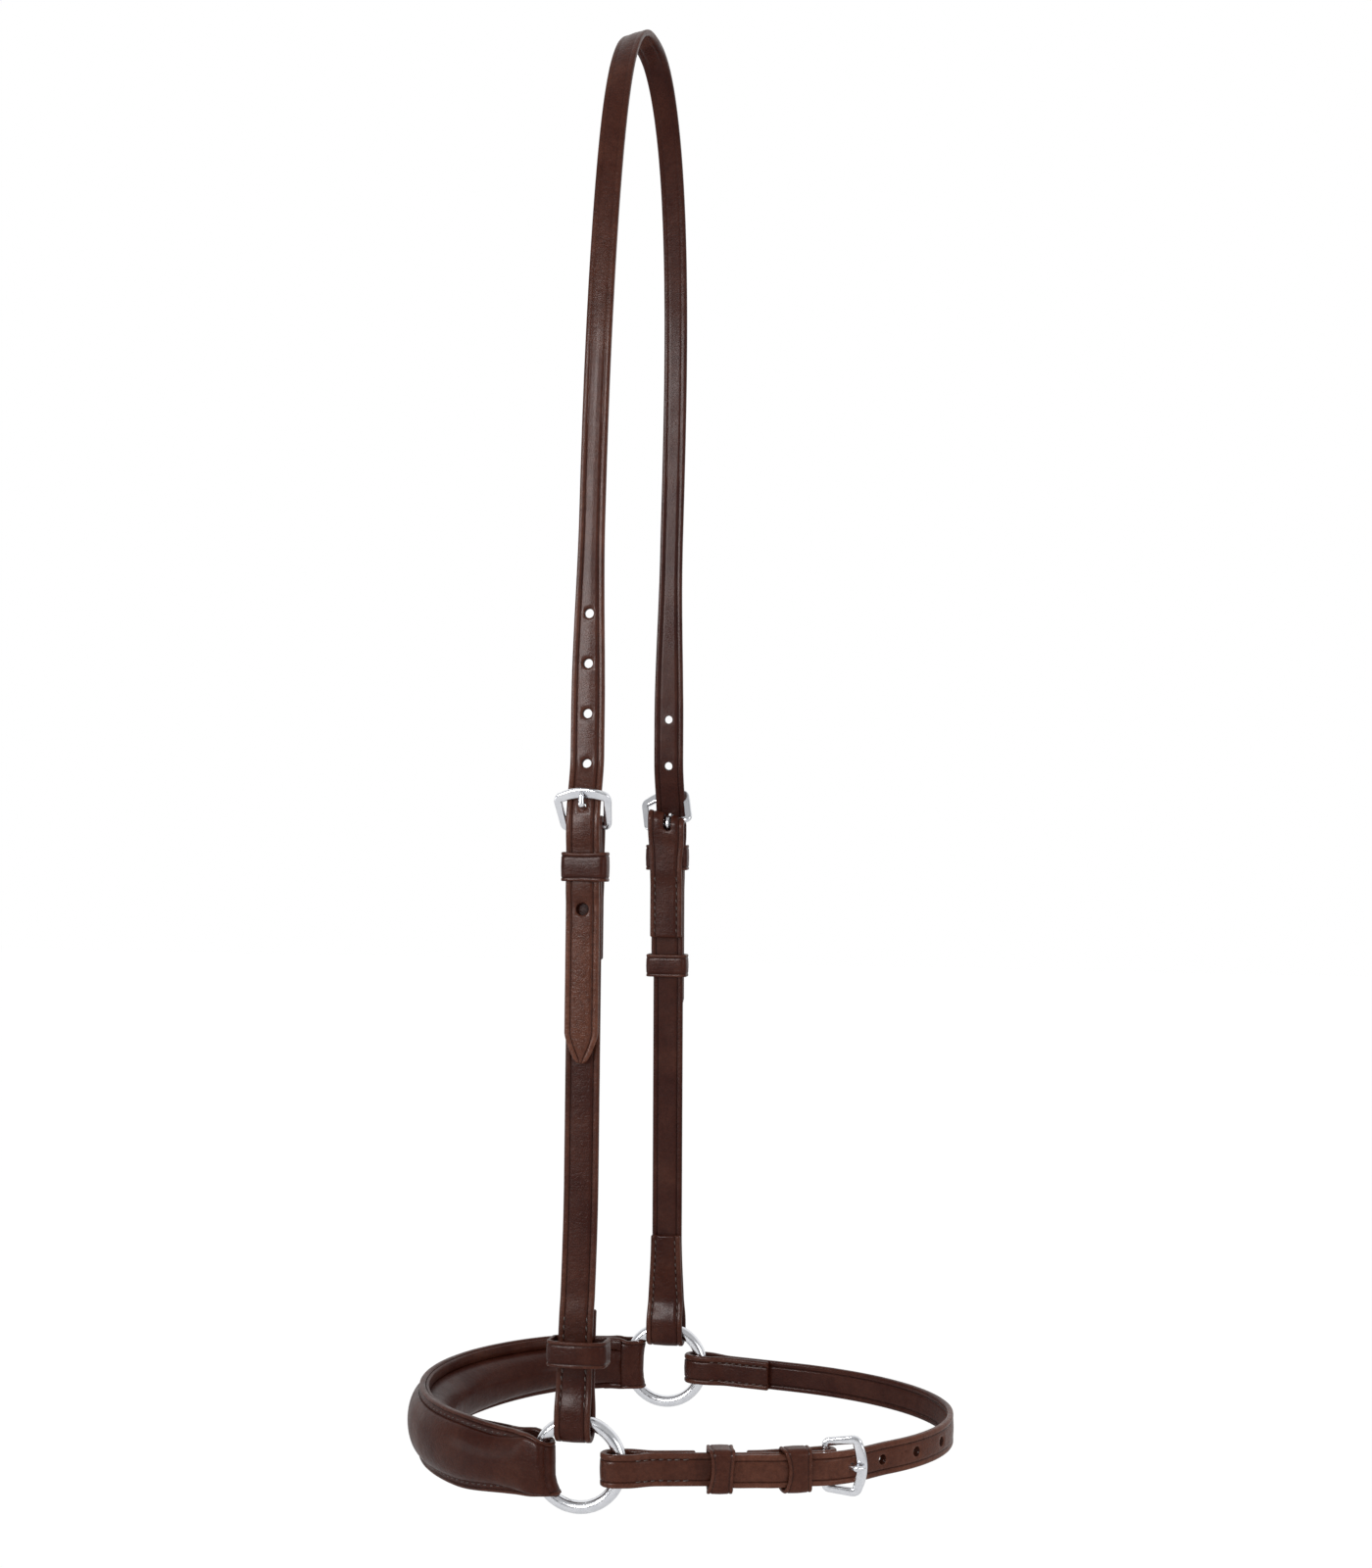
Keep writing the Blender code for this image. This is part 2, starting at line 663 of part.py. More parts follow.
def buckle_frame(name, matrix, width, front_rise, material, collection):
    """A closed frame: a thin heel bar, two side bars and a bowed front bar."""
    half_front = width / 2 + FRAME_BAR_R
    half_heel = half_front - BUCKLE_HEEL_NARROWER / 2
    edge = BUCKLE_LENGTH - BUCKLE_BOW
    points = []
    radii = []

    def add(x, y, radius):
        points.append((x, y, front_rise * min(1.0, y / edge)))
        radii.append(radius)

    round_in = BUCKLE_CORNER_RADIUS
    for share in HEEL_BAR_SHARES:
        add((half_heel - round_in) * share, 0.0, HEEL_BAR_R)
    for side in (1.0, -1.0):
        corner = []
        for step in range(1, FRAME_CORNER_STEPS + 1):
            share = step / FRAME_CORNER_STEPS
            angle = math.pi / 2 * (share - 1.0)
            x = half_heel - round_in + round_in * math.cos(angle)
            y = round_in + round_in * math.sin(angle)
            radius = HEEL_BAR_R + (FRAME_BAR_R - HEEL_BAR_R) * share
            corner.append((x, y, radius))
        for step in range(FRAME_CORNER_STEPS + 1):
            angle = math.pi / 2 * step / FRAME_CORNER_STEPS
            x = half_front - round_in + round_in * math.cos(angle)
            y = edge - round_in + round_in * math.sin(angle)
            corner.append((x, y, FRAME_BAR_R))
        if side < 0:
            corner.reverse()
        for x, y, radius in corner:
            add(side * x, y, radius)
        if side > 0:
            for share in FRONT_BAR_SHARES:
                x = (half_front - round_in) * share
                add(x, edge + BUCKLE_BOW * (1.0 - share * share), FRAME_BAR_R)
    return tube(name, points, radii, True, matrix, material, collection)


def buckle_prong(name, matrix, front_rise, material, collection):
    """A pin with an eye round the heel bar, bent up through the hole and over the front bar."""
    points = []
    for step in range(PRONG_EYE_STEPS + 1):
        angle = math.pi / 2 + PRONG_EYE_TURN * (1.0 - step / PRONG_EYE_STEPS)
        points.append((0.0, PRONG_EYE_R * math.cos(angle), PRONG_EYE_R * math.sin(angle)))
    top = front_rise + FRAME_BAR_R + FIT_GAP + PRONG_R
    points.append((0.0, PRONG_RISE_START / 2, PRONG_EYE_R))
    for step in range(PRONG_BEND_STEPS + 1):
        share = step / PRONG_BEND_STEPS
        along = PRONG_RISE_START + (PRONG_RISE_END - PRONG_RISE_START) * share
        points.append((0.0, along, PRONG_EYE_R + (top - PRONG_EYE_R) * smooth(share)))
    points.append((0.0, BUCKLE_LENGTH, top))
    points.append((0.0, BUCKLE_LENGTH + PRONG_PAST_BAR, top - FIT_GAP))
    radii = [PRONG_R] * len(points)
    return tube(name, points, radii, False, matrix, material, collection)


def ring(name, side, material, collection):
    mesh = bmesh.new()
    circles = []
    for step in range(RING_SEGMENTS):
        around = 2 * math.pi * step / RING_SEGMENTS
        circle = []
        for wire_step in range(WIRE_SEGMENTS):
            angle = 2 * math.pi * wire_step / WIRE_SEGMENTS
            reach = RING_MEAN_R + RING_WIRE_R * math.cos(angle)
            x = reach * math.cos(around)
            z = reach * math.sin(around)
            circle.append(mesh.verts.new((x, RING_WIRE_R * math.sin(angle), z)))
        circles.append(circle)
    for index, circle in enumerate(circles):
        following = circles[(index + 1) % RING_SEGMENTS]
        for step in range(WIRE_SEGMENTS):
            other = (step + 1) % WIRE_SEGMENTS
            mesh.faces.new((circle[step], circle[other], following[other], following[step]))
    bmesh.ops.recalc_face_normals(mesh, faces=mesh.faces)
    data = bpy.data.meshes.new(name)
    mesh.to_mesh(data)
    mesh.free()
    centre = Vector((0.0, side * RING_HALF_SPAN, RING_CENTRE_Z))
    piece = place_object(name, data, Matrix.Translation(centre), material, collection)
    shade(piece)
    return piece


def side_name(side):
    return "far" if side > 0 else "near"


def cheek_half_width(place, rise):
    """The cheekpiece is widest at the ring and even above the ring's turn-back."""
    half = ease(RING_MEAN_R, CHEEK_RING_TURN_BACK, CHEEK_FOOT_WIDTH, CHEEK_WIDTH, place) / 2
    return half, half


def cheek_outer_offset(side, place):
    """How far the cheekpiece's outer layer is from the middle between its two layers."""
    if side < 0 and place < CHEEK_RING_TURN_BACK:
        return LOOP_OFFSET
    return LAYER_OFFSET


def cheekpiece(side, path, material, parts, cutters):
    """One long strip folded round the ring below and round the buckle's heel bar above."""
    heel = CHEEK_BUCKLE_HEIGHT
    lower = cheek_outer_offset(side, RING_OUTER_DIAMETER)
    loop_end = CHEEK_RING_TURN_BACK
    clear = KEEPER_RAMP
    steps = SHORT_RAMP_STEPS
    keeper_low = CHEEK_KEEPER_HEIGHT - CHEEK_KEEPER_LENGTH / 2 - FIT_GAP
    keeper_high = CHEEK_KEEPER_HEIGHT + CHEEK_KEEPER_LENGTH / 2
    fold_start = heel - BAR_FOLD_OFFSET
    stop = fold_stop(CHEEK_FOOT_WIDTH / 2)
    line = [(loop_end, -lower)]
    line += ring_fold(stop, -lower, lower, STRAP_JOIN)
    line += [(loop_end - LEATHER, lower)]
    line += glide((loop_end - LEATHER, lower), (loop_end + clear, LAYER_OFFSET), steps)
    line += [(keeper_low - clear, LAYER_OFFSET)]
    line += glide((keeper_low - clear, LAYER_OFFSET), (keeper_low, KEEPER_OFFSET), steps)
    line += [(keeper_high, KEEPER_OFFSET)]
    line += [(fold_start, BAR_FOLD_OFFSET)]
    line += half_turn(heel, BAR_FOLD_OFFSET, True, False)
    line += [(fold_start, -BAR_FOLD_OFFSET)]
    line += [(keeper_high, -KEEPER_OFFSET), (keeper_low, -KEEPER_OFFSET)]
    line += glide((keeper_low, -KEEPER_OFFSET), (keeper_low - clear, -LAYER_OFFSET), steps)
    line += [(CHEEK_BUCKLE_TURN_BACK, -LAYER_OFFSET)]
    origin = path.point(0.0)
    name = side_name(side) + "_cheekpiece"
    piece = strap(name, path, line, cheek_half_width, origin, material, parts)
    prong_slot(piece, path, heel, cutters)
    return piece


def head_billet_rise():
    under_tip = LAYER_OFFSET + LEATHER + FIT_GAP
    keeper_from = CHEEK_KEEPER_HEIGHT - CHEEK_KEEPER_LENGTH / 2 - FIT_GAP
    keeper_to = CHEEK_KEEPER_HEIGHT + CHEEK_KEEPER_LENGTH / 2
    keeper_rise = KEEPER_OFFSET + LEATHER + FIT_GAP
    return billet_rise(
        CHEEK_BUCKLE_HEIGHT, under_tip, keeper_from, keeper_to, keeper_rise, 0.0
    )


def headpiece(material, parts, cutters):
    """The strap over the poll, with a punched billet at each end."""
    path = head_path(-1)
    rise = head_billet_rise()
    tip = BILLET_TIP_HEIGHT
    near_places = [tip, tip + BILLET_TIP_LENGTH / 3, tip + BILLET_TIP_LENGTH]
    buckle_from = CHEEK_KEEPER_HEIGHT - CHEEK_KEEPER_LENGTH
    buckle_to = CHEEK_BUCKLE_HEIGHT + BAR_FOLD_OFFSET + BILLET_SETTLE
    near_places.append(buckle_from)
    near_places += places([buckle_from, buckle_to], HEAD_BUCKLE_STATION)[1:]
    near_places += places([buckle_to, path.length / 2], HEAD_STATION)[1:]
    stations = near_places + [path.length - place for place in reversed(near_places[:-1])]

    def folded(place):
        return min(place, path.length - place)

    def half_width(place, _rise):
        height = folded(place)
        wide = ease(BILLET_WIDTH_TOP, CROWN_WIDTH_TOP, BILLET_WIDTH, CROWN_WIDTH, height)
        if height < tip + BILLET_TIP_LENGTH:
            share = max(0.0, (height - tip) / BILLET_TIP_LENGTH)
            wide = BILLET_TIP_WIDTH + (wide - BILLET_TIP_WIDTH) * math.sqrt(share)
        return wide / 2, wide / 2

    line = [(place, rise(folded(place))) for place in stations]
    piece = strap("headpiece", path, line, half_width, Vector((0.0, 0.0, 0.0)), material, parts)
    prong_place = CHEEK_BUCKLE_HEIGHT + HOLE_FROM_BAR
    sides = ((-1, NEAR_HOLE_PITCH, NEAR_HOLES_ABOVE), (1, FAR_HOLE_PITCH, FAR_HOLES_ABOVE))
    for side, pitch, above in sides:
        side_path = head_path(side)
        prong_hole(piece, side_path, CHEEK_BUCKLE_HEIGHT, 0.0, cutters)
        marks = [prong_place - BELOW_HOLE_PITCH * step for step in range(1, HOLES_BELOW_PRONG + 1)]
        marks += [prong_place + pitch * step for step in range(1, above + 1)]
        punch(piece, side_path, rise, marks, cutters)
    return piece


def cheek_fittings(side, path, leather, steel, parts):
    """Buckle, prong and keepers of one cheekpiece."""
    prefix = side_name(side)
    rise = head_billet_rise()
    heel = path.matrix(CHEEK_BUCKLE_HEIGHT)
    front = front_bar_rise(path, heel, rise, CHEEK_BUCKLE_HEIGHT)
    buckle_frame(prefix + "_cheek_buckle_frame", heel, CHEEK_BUCKLE_WIDTH, front, steel, parts)
    buckle_prong(prefix + "_cheek_buckle_prong", heel, front, steel, parts)
    width = CHEEK_WIDTH + 2 * KEEPER_SIDE_CLEARANCE
    low = KEEPER_OFFSET - SKIN - FIT_GAP
    high = rise(CHEEK_KEEPER_HEIGHT) + SKIN + FIT_GAP
    keeper(
        prefix + "_cheek_fixed_keeper", path.matrix(CHEEK_KEEPER_HEIGHT), width, low, high,
        CHEEK_KEEPER_LENGTH, KEEPER_THICKNESS, leather, parts,
    )
    if side > 0:
        low = LAYER_OFFSET - SKIN - FIT_GAP
        high = rise(CHEEK_RUNNER_HEIGHT) + SKIN + FIT_GAP
        keeper(
            prefix + "_cheek_runner_keeper", path.matrix(CHEEK_RUNNER_HEIGHT), width, low, high,
            CHEEK_RUNNER_LENGTH, RUNNER_THICKNESS, leather, parts,
        )
    else:
        low = LOOP_OFFSET - SKIN - FIT_GAP
        high = LOOP_OFFSET + SKIN + BRIDLE_LOOP_INNER_DEPTH
        keeper(
            "near_bridle_cheek_loop", path.matrix(BRIDLE_LOOP_HEIGHT), BRIDLE_LOOP_INNER_WIDTH,
            low, high, BRIDLE_LOOP_LENGTH, BRIDLE_LOOP_THICKNESS, leather, parts,
            bow=BRIDLE_LOOP_BOW,
        )


def nose_sides(path, place):
    """How far the nosepiece goes down and up from the ring's level, past the tongues."""
    if place < path.length / 2:
        end, full = NOSE_NEAR_END_BOTTOM, NOSE_NEAR_FULL
    else:
        end, full = NOSE_FAR_END_BOTTOM, NOSE_FAR_FULL
    inward = min(place, path.length - place)
    low = ease(NOSE_SHOULDER, full, end, NOSE_BOTTOM, inward)
    high = ease(NOSE_SHOULDER, NOSE_NEAR_FULL, NOSE_END_TOP, NOSE_TOP, inward)
    return low, high


def nose_edges(path, place):
    """The same for the base strap, which narrows to a tongue at each ring."""
    low, high = nose_sides(path, place)
    inward = min(place, path.length - place)
    if inward < NOSE_SHOULDER:
        low = ease(NOSE_TONGUE_END, NOSE_SHOULDER, NOSE_TONGUE_BOTTOM, low, inward)
        high = ease(NOSE_TONGUE_END, NOSE_SHOULDER, NOSE_TONGUE_TOP, high, inward)
    return low, high


def nose_stations(path, marks):
    """Places along one half of the nosepiece and, mirrored, along the other half."""
    half = places([NOSE_JOIN, path.length / 2], NOSE_STATION)
    half = [place for place in NOSE_RAMP_PLACES if place < NOSE_JOIN] + half
    half = sorted(set(marks) | {place for place in half if place > max(marks)})
    return half + [path.length - place for place in reversed(half[:-1])]


def nose_layer_rise(path, place):
    """How far each layer's middle is from the nosepiece's own middle, near and past a ring."""
    inward = min(place, path.length - place)
    return ease(RING_OUTER_DIAMETER / 2, NOSE_JOIN, RING_FOLD_OFFSET, LAYER_OFFSET, inward)


def nosepiece_base(path, origin, material, parts):
    """The long base strap, folded round both rings, each fold shaped to the ring's curve."""
    stop = fold_stop(0.0)
    half = [(NOSE_TURN_BACK, -LAYER_OFFSET)]
    half += ring_fold(stop, -LAYER_OFFSET, LAYER_OFFSET, NOSE_JOIN)
    beyond = places([NOSE_JOIN, path.length / 2], NOSE_STATION)[1:]
    half += [(place, LAYER_OFFSET) for place in beyond]
    line = half + [(path.length - place, rise) for place, rise in reversed(half[:-1])]

    def half_width(place, _rise):
        return nose_edges(path, place)

    clear_r = RING_INNER_R - RING_FOLD_CLEARANCE

    def follow_ring(place, sideways):
        inward = min(place, path.length - place)
        fade = ease(RING_OUTER_DIAMETER / 2, NOSE_TURN_BACK, 1.0, 0.0, inward)
        limit = min(abs(sideways), NOSE_TONGUE_BOTTOM)
        pull = clear_r - math.sqrt(clear_r * clear_r - limit * limit)
        return Vector((pull * fade, 0.0, 0.0))

    return strap(
        "nosepiece_base_strap", path, line, half_width, origin, material, parts,
        shift=follow_ring, columns=NOSE_COLUMNS,
    )


def bulge_section(low, high, depth, edge_power):
    """Points (sideways, rise) of a bulge from the lower edge over to the upper one."""
    points = []
    middle = (high - low) / 2
    half = (high + low) / 2
    for step in range(SECTION_SEGMENTS + 1):
        angle = math.pi * step / SECTION_SEGMENTS
        points.append((middle - half * math.cos(angle), depth * math.sin(angle) ** edge_power))
    return points


def swept(name, path, stations, section, origin, material, collection):
    """A closed solid with the outline section(place) at each of the stations."""
    rows = []
    for place in stations:
        rows.append([path.locate(place, rise, sideways) for sideways, rise in section(place)])
    data = surface(name, rows, origin, round_rows=True, capped=True)
    piece = place_object(name, data, Matrix.Translation(origin), material, collection)
    shade(piece)
    return piece


def padded_cover(name, inner_name, path, sizes, stations, inner_stations, origin, skin, pad, parts):
    """A leather skin that bulges away from the base strap, and the padding under it.

    sizes.at(place) gives the skin's lower and upper reach, its seat on the base strap and its
    depth. sizes.side is 1 on the outside and -1 on the horse's side.
    """
    side, thickness, rim, edge_power = sizes.side, sizes.thickness, sizes.rim, sizes.edge_power

    def skin_section(place):
        low, high, seat, depth = sizes.at(place)
        outer = bulge_section(low, high, depth, edge_power)
        inner = bulge_section(low - rim, high - rim, depth - thickness, edge_power)
        outline = outer + inner[::-1]
        return [(sideways, side * (seat + rise)) for sideways, rise in outline]

    def pad_section(place):
        low, high, seat, depth = sizes.at(place)
        trim = rim + PAD_GAP
        outline = bulge_section(low - trim, high - trim, depth - thickness - PAD_GAP, edge_power)
        return [(sideways, side * (seat + rise)) for sideways, rise in outline]

    swept(name, path, stations, skin_section, origin, skin, parts)
    swept(inner_name, path, inner_stations, pad_section, origin, pad, parts)


class PanelSizes:
    """The raised panel on the outside of the nosepiece."""

    side = 1
    thickness = PANEL_THICKNESS
    rim = PANEL_RIM
    edge_power = PANEL_EDGE_POWER

    def __init__(self, path):
        self.path = path

    def at(self, place):
        low, high = nose_sides(self.path, place)
        inward = min(place, self.path.length - place)
        seat = nose_layer_rise(self.path, place) + SKIN + LAYER_GAP
        depth = ease(PANEL_START, PANEL_FULL_RISE, PANEL_END_RISE, PANEL_RISE, inward)
        return low - PANEL_BORDER, high - PANEL_BORDER, seat, depth


class LiningSizes:
    """The padded lining on the horse's side of the nosepiece."""

    side = -1
    thickness = LINING_THICKNESS
    rim = LINING_RIM
    edge_power = LINING_EDGE_POWER

    def __init__(self, path):
        self.path = path

    def at(self, place):
        low, high = nose_sides(self.path, place)
        inward = min(place, self.path.length - place)
        over_turn_back = nose_layer_rise(self.path, place) + SKIN + LAYER_GAP
        on_base = SKIN - LAYER_OFFSET + LAYER_GAP
        seat = ease(LINING_RAMP_START, LINING_FULL, over_turn_back, on_base, inward)
        depth = ease(LINING_START, LINING_FULL, LINING_END_DEPTH, LINING_DEPTH, inward)
        depth += over_turn_back - seat
        return low - LINING_BORDER, high - LINING_BORDER, seat, depth


def chin_half_width(_place, _rise):
    return CHIN_STRAP_WIDTH / 2, CHIN_STRAP_WIDTH / 2


def chin_billet_rise():
    under_tip = LAYER_OFFSET + LEATHER + FIT_GAP
    keeper_from = CHIN_KEEPER_PLACE - CHIN_KEEPER_LENGTH / 2 - FIT_GAP
    keeper_to = CHIN_KEEPER_PLACE + CHIN_KEEPER_LENGTH / 2
    keeper_rise = CHIN_KEEPER_OFFSET + LEATHER + FIT_GAP
    return billet_rise(
        CHIN_BUCKLE_PLACE, under_tip, keeper_from, keeper_to, keeper_rise, LAYER_OFFSET
    )


def chin_tilt(path):
    """The strap bends away under the buckle, and the frame lies along it."""
    local = path.matrix(CHIN_BUCKLE_PLACE).inverted()
    ahead = local @ path.point(CHIN_BUCKLE_PLACE + BUCKLE_LENGTH)
    return math.atan2(ahead.z, ahead.y)


def chin_buckle_strap(path, origin, material, parts, cutters):
    """The short near half: folded round the near ring and round the chin buckle's bar."""
    heel = CHIN_BUCKLE_PLACE
    clear = KEEPER_RAMP
    steps = SHORT_RAMP_STEPS
    keeper_low = CHIN_KEEPER_PLACE - CHIN_KEEPER_LENGTH / 2 - FIT_GAP
    keeper_high = CHIN_KEEPER_PLACE + CHIN_KEEPER_LENGTH / 2
    fold_start = heel - BAR_FOLD_OFFSET
    stop = fold_stop(CHIN_STRAP_WIDTH / 2 + CHIN_DROP)
    line = [(CHIN_RING_TURN_BACK, -LAYER_OFFSET)]
    line += ring_fold(stop, -LAYER_OFFSET, LAYER_OFFSET, STRAP_JOIN)
    middle = [STRAP_JOIN, keeper_low - clear]
    line += [(place, LAYER_OFFSET) for place in places(middle, CHIN_STATION)[1:]]
    line += glide((keeper_low - clear, LAYER_OFFSET), (keeper_low, CHIN_KEEPER_OFFSET), steps)
    line += [(CHIN_KEEPER_PLACE, CHIN_KEEPER_OFFSET), (keeper_high, CHIN_KEEPER_OFFSET)]
    line += [(fold_start, BAR_FOLD_OFFSET)]
    line += half_turn(heel, BAR_FOLD_OFFSET, True, False)
    line += [(fold_start, -BAR_FOLD_OFFSET)]
    line += [(keeper_high, -CHIN_KEEPER_OFFSET), (keeper_low, -CHIN_KEEPER_OFFSET)]
    line += glide((keeper_low, -CHIN_KEEPER_OFFSET), (keeper_low - clear, -LAYER_OFFSET), steps)
    line += [(CHIN_BUCKLE_TURN_BACK, -LAYER_OFFSET)]
    piece = strap(
        "chin_buckle_strap", path, line, chin_half_width, origin, material, parts
    )
    prong_slot(piece, path, heel, cutters)


def chin_billet_strap(near_path, origin, material, parts, cutters):
    """The long far half: folded round the far ring, punched, and buckled to the near half."""
    path = chin_path(1)
    rise = chin_billet_rise()
    length = path.length
    stop = fold_stop(CHIN_STRAP_WIDTH / 2 + CHIN_DROP)
    buckle_place = length - CHIN_BUCKLE_PLACE
    tip_place = length - CHIN_BILLET_TIP
    line = [(CHIN_FAR_TURN_BACK, -LAYER_OFFSET)]
    line += ring_fold(stop, -LAYER_OFFSET, LAYER_OFFSET, STRAP_JOIN)
    settle = buckle_place - BAR_FOLD_OFFSET - BILLET_SETTLE
    stations = places([STRAP_JOIN, settle], CHIN_STATION)[1:]
    stations += places([settle, tip_place - BILLET_TIP_LENGTH], CHIN_BUCKLE_STATION)[1:]
    stations += [tip_place - BILLET_TIP_LENGTH / 3, tip_place]
    line += [(place, rise(length - place)) for place in stations]

    def half_width(place, _rise):
        wide = CHIN_STRAP_WIDTH
        if place > tip_place - BILLET_TIP_LENGTH:
            share = max(0.0, (tip_place - place) / BILLET_TIP_LENGTH)
            wide = BILLET_TIP_WIDTH + (wide - BILLET_TIP_WIDTH) * math.sqrt(share)
        return wide / 2, wide / 2

    piece = strap(
        "chin_billet_strap", path, line, half_width, origin, material, parts
    )
    prong_hole(piece, near_path, CHIN_BUCKLE_PLACE, chin_tilt(near_path), cutters)
    prong_place = CHIN_BUCKLE_PLACE + HOLE_FROM_BAR
    marks = [
        prong_place + CHIN_HOLE_PITCH * step for step in range(1, CHIN_HOLE_COUNT + 1)
    ]
    punch(piece, near_path, rise, marks, cutters)


def chin_fittings(path, leather, steel, parts):
    """Buckle, prong and keepers of the chin strap."""
    rise = chin_billet_rise()
    heel = path.matrix(CHIN_BUCKLE_PLACE, chin_tilt(path))
    front = front_bar_rise(path, heel, rise, CHIN_BUCKLE_PLACE)
    buckle_frame("chin_buckle_frame", heel, CHIN_BUCKLE_WIDTH, front, steel, parts)
    buckle_prong("chin_buckle_prong", heel, front, steel, parts)
    width = CHIN_STRAP_WIDTH + 2 * CHIN_KEEPER_SIDE_CLEARANCE
    low = CHIN_KEEPER_OFFSET - SKIN - FIT_GAP
    high = rise(CHIN_KEEPER_PLACE) + SKIN + FIT_GAP
    keeper(
        "chin_fixed_keeper", path.matrix(CHIN_KEEPER_PLACE), width, low, high,
        CHIN_KEEPER_LENGTH, CHIN_KEEPER_THICKNESS, leather, parts,
    )
    low = -LAYER_OFFSET - SKIN - FIT_GAP
    high = rise(CHIN_RUNNER_PLACE) + SKIN + FIT_GAP
    keeper(
        "chin_runner_keeper", path.matrix(CHIN_RUNNER_PLACE), width, low, high,
        CHIN_KEEPER_LENGTH, CHIN_KEEPER_THICKNESS, leather, parts,
    )


def main():
    for old in list(bpy.data.objects):
        bpy.data.objects.remove(old, do_unlink=True)
    parts = new_collection(PART_COLLECTION)
    cutters = new_collection(CUTTER_COLLECTION)
    leather = new_material("bridle_leather", LEATHER_COLOUR, LEATHER_ROUGHNESS, 0.0)
    lining = new_material("lining_leather", LINING_COLOUR, LINING_ROUGHNESS, 0.0)
    filler = new_material("filler", FILLER_COLOUR, FILLER_ROUGHNESS, 0.0)
    steel = new_material("polished_steel", STEEL_COLOUR, STEEL_ROUGHNESS, 1.0)

    headpiece(leather, parts, cutters)
    for side in (-1, 1):
        path = head_path(side)
        cheekpiece(side, path, leather, parts, cutters)
        cheek_fittings(side, path, leather, steel, parts)
        ring(side_name(side) + "_ring", side, steel, parts)

    ring_axis = Vector((0.0, 0.0, RING_CENTRE_Z))
    nose = nose_path()
    nosepiece_base(nose, ring_axis, leather, parts)
    pad_stations = nose_stations(nose, [NOSE_JOIN])
    padded_cover(
        "nosepiece_raised_panel", "nosepiece_panel_filler", nose, PanelSizes(nose),
        nose_stations(nose, [PANEL_START, RING_OUTER_DIAMETER / 2]), pad_stations,
        ring_axis, leather, filler, parts,
    )
    padded_cover(
        "nosepiece_lining", "nosepiece_foam_pad", nose, LiningSizes(nose),
        nose_stations(nose, [LINING_START]), pad_stations,
        ring_axis, lining, filler, parts,
    )

    chin = chin_path(-1)
    chin_buckle_strap(chin, ring_axis, leather, parts, cutters)
    chin_billet_strap(chin, ring_axis, leather, parts, cutters)
    chin_fittings(chin, leather, steel, parts)
    bpy.context.view_layer.update()


main()
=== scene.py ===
"""The looks of a drop noseband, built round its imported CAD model.

Every strap is swept along the same centre line as its CAD node, with pressed creases, rounded
edges, punched holes and sewn threads. All sizes are in metres. +Z is up, -X is the nose side,
+X the chin side, -Y the near side. Lengths along a strap are counted from the ring.
"""

import bisect
import math
import random

import bmesh
import bpy
from mathutils import Matrix, Vector, noise


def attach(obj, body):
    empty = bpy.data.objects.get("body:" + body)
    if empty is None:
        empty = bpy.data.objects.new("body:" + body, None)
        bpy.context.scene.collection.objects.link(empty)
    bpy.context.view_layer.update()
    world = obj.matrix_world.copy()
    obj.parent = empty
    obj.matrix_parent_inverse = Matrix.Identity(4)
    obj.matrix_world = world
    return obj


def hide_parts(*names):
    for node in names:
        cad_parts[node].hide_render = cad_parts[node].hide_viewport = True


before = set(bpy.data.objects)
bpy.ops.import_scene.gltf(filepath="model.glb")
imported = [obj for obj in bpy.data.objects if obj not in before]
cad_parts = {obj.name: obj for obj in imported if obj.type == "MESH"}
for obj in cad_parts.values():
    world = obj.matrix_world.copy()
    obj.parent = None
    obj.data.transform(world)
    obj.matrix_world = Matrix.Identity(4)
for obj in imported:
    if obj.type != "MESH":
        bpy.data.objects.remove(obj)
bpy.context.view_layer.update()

# Leather and fits, as in the CAD model
LEATHER = 0.0024
FIT_GAP = 0.0003
LAYER_GAP = 0.0004
TANGENT_REACH = 0.0004
STRAP_JOIN = 0.028

# Rings
RING_OUTER_DIAMETER = 0.035
RING_WIRE_DIAMETER = 0.0046
RING_HALF_SPAN = 0.078
RING_FOLD_CLEARANCE = 0.0005

# Headpiece
POLL_HEIGHT = 0.5250
CHEEK_LEAN = math.radians(1.0)
ARCH_BASE = 0.340
ARCH_POWER = 2.5
CROWN_SET_BACK = 0.0036
SET_BACK_START = 0.270
SET_BACK_END = 0.500
CROWN_WIDTH = 0.0094
BILLET_WIDTH = 0.0121
CROWN_WIDTH_TOP = 0.335
BILLET_WIDTH_TOP = 0.265
BILLET_TIP_HEIGHT = 0.1412
BILLET_TIP_LENGTH = 0.010
BILLET_TIP_WIDTH = 0.0030
HOLE_DIAMETER = 0.0033
HOLE_FROM_BAR = 0.0045
NEAR_HOLE_PITCH = 0.0178
FAR_HOLE_PITCH = 0.0192
NEAR_HOLES_ABOVE = 4
FAR_HOLES_ABOVE = 2
HOLES_BELOW_PRONG = 2
BELOW_HOLE_PITCH = 0.0168

# Cheekpieces
CHEEK_WIDTH = 0.0123
CHEEK_FOOT_WIDTH = 0.0130
CHEEK_BUCKLE_HEIGHT = 0.2246
CHEEK_RING_TURN_BACK = 0.054
CHEEK_BUCKLE_TURN_BACK = 0.1775

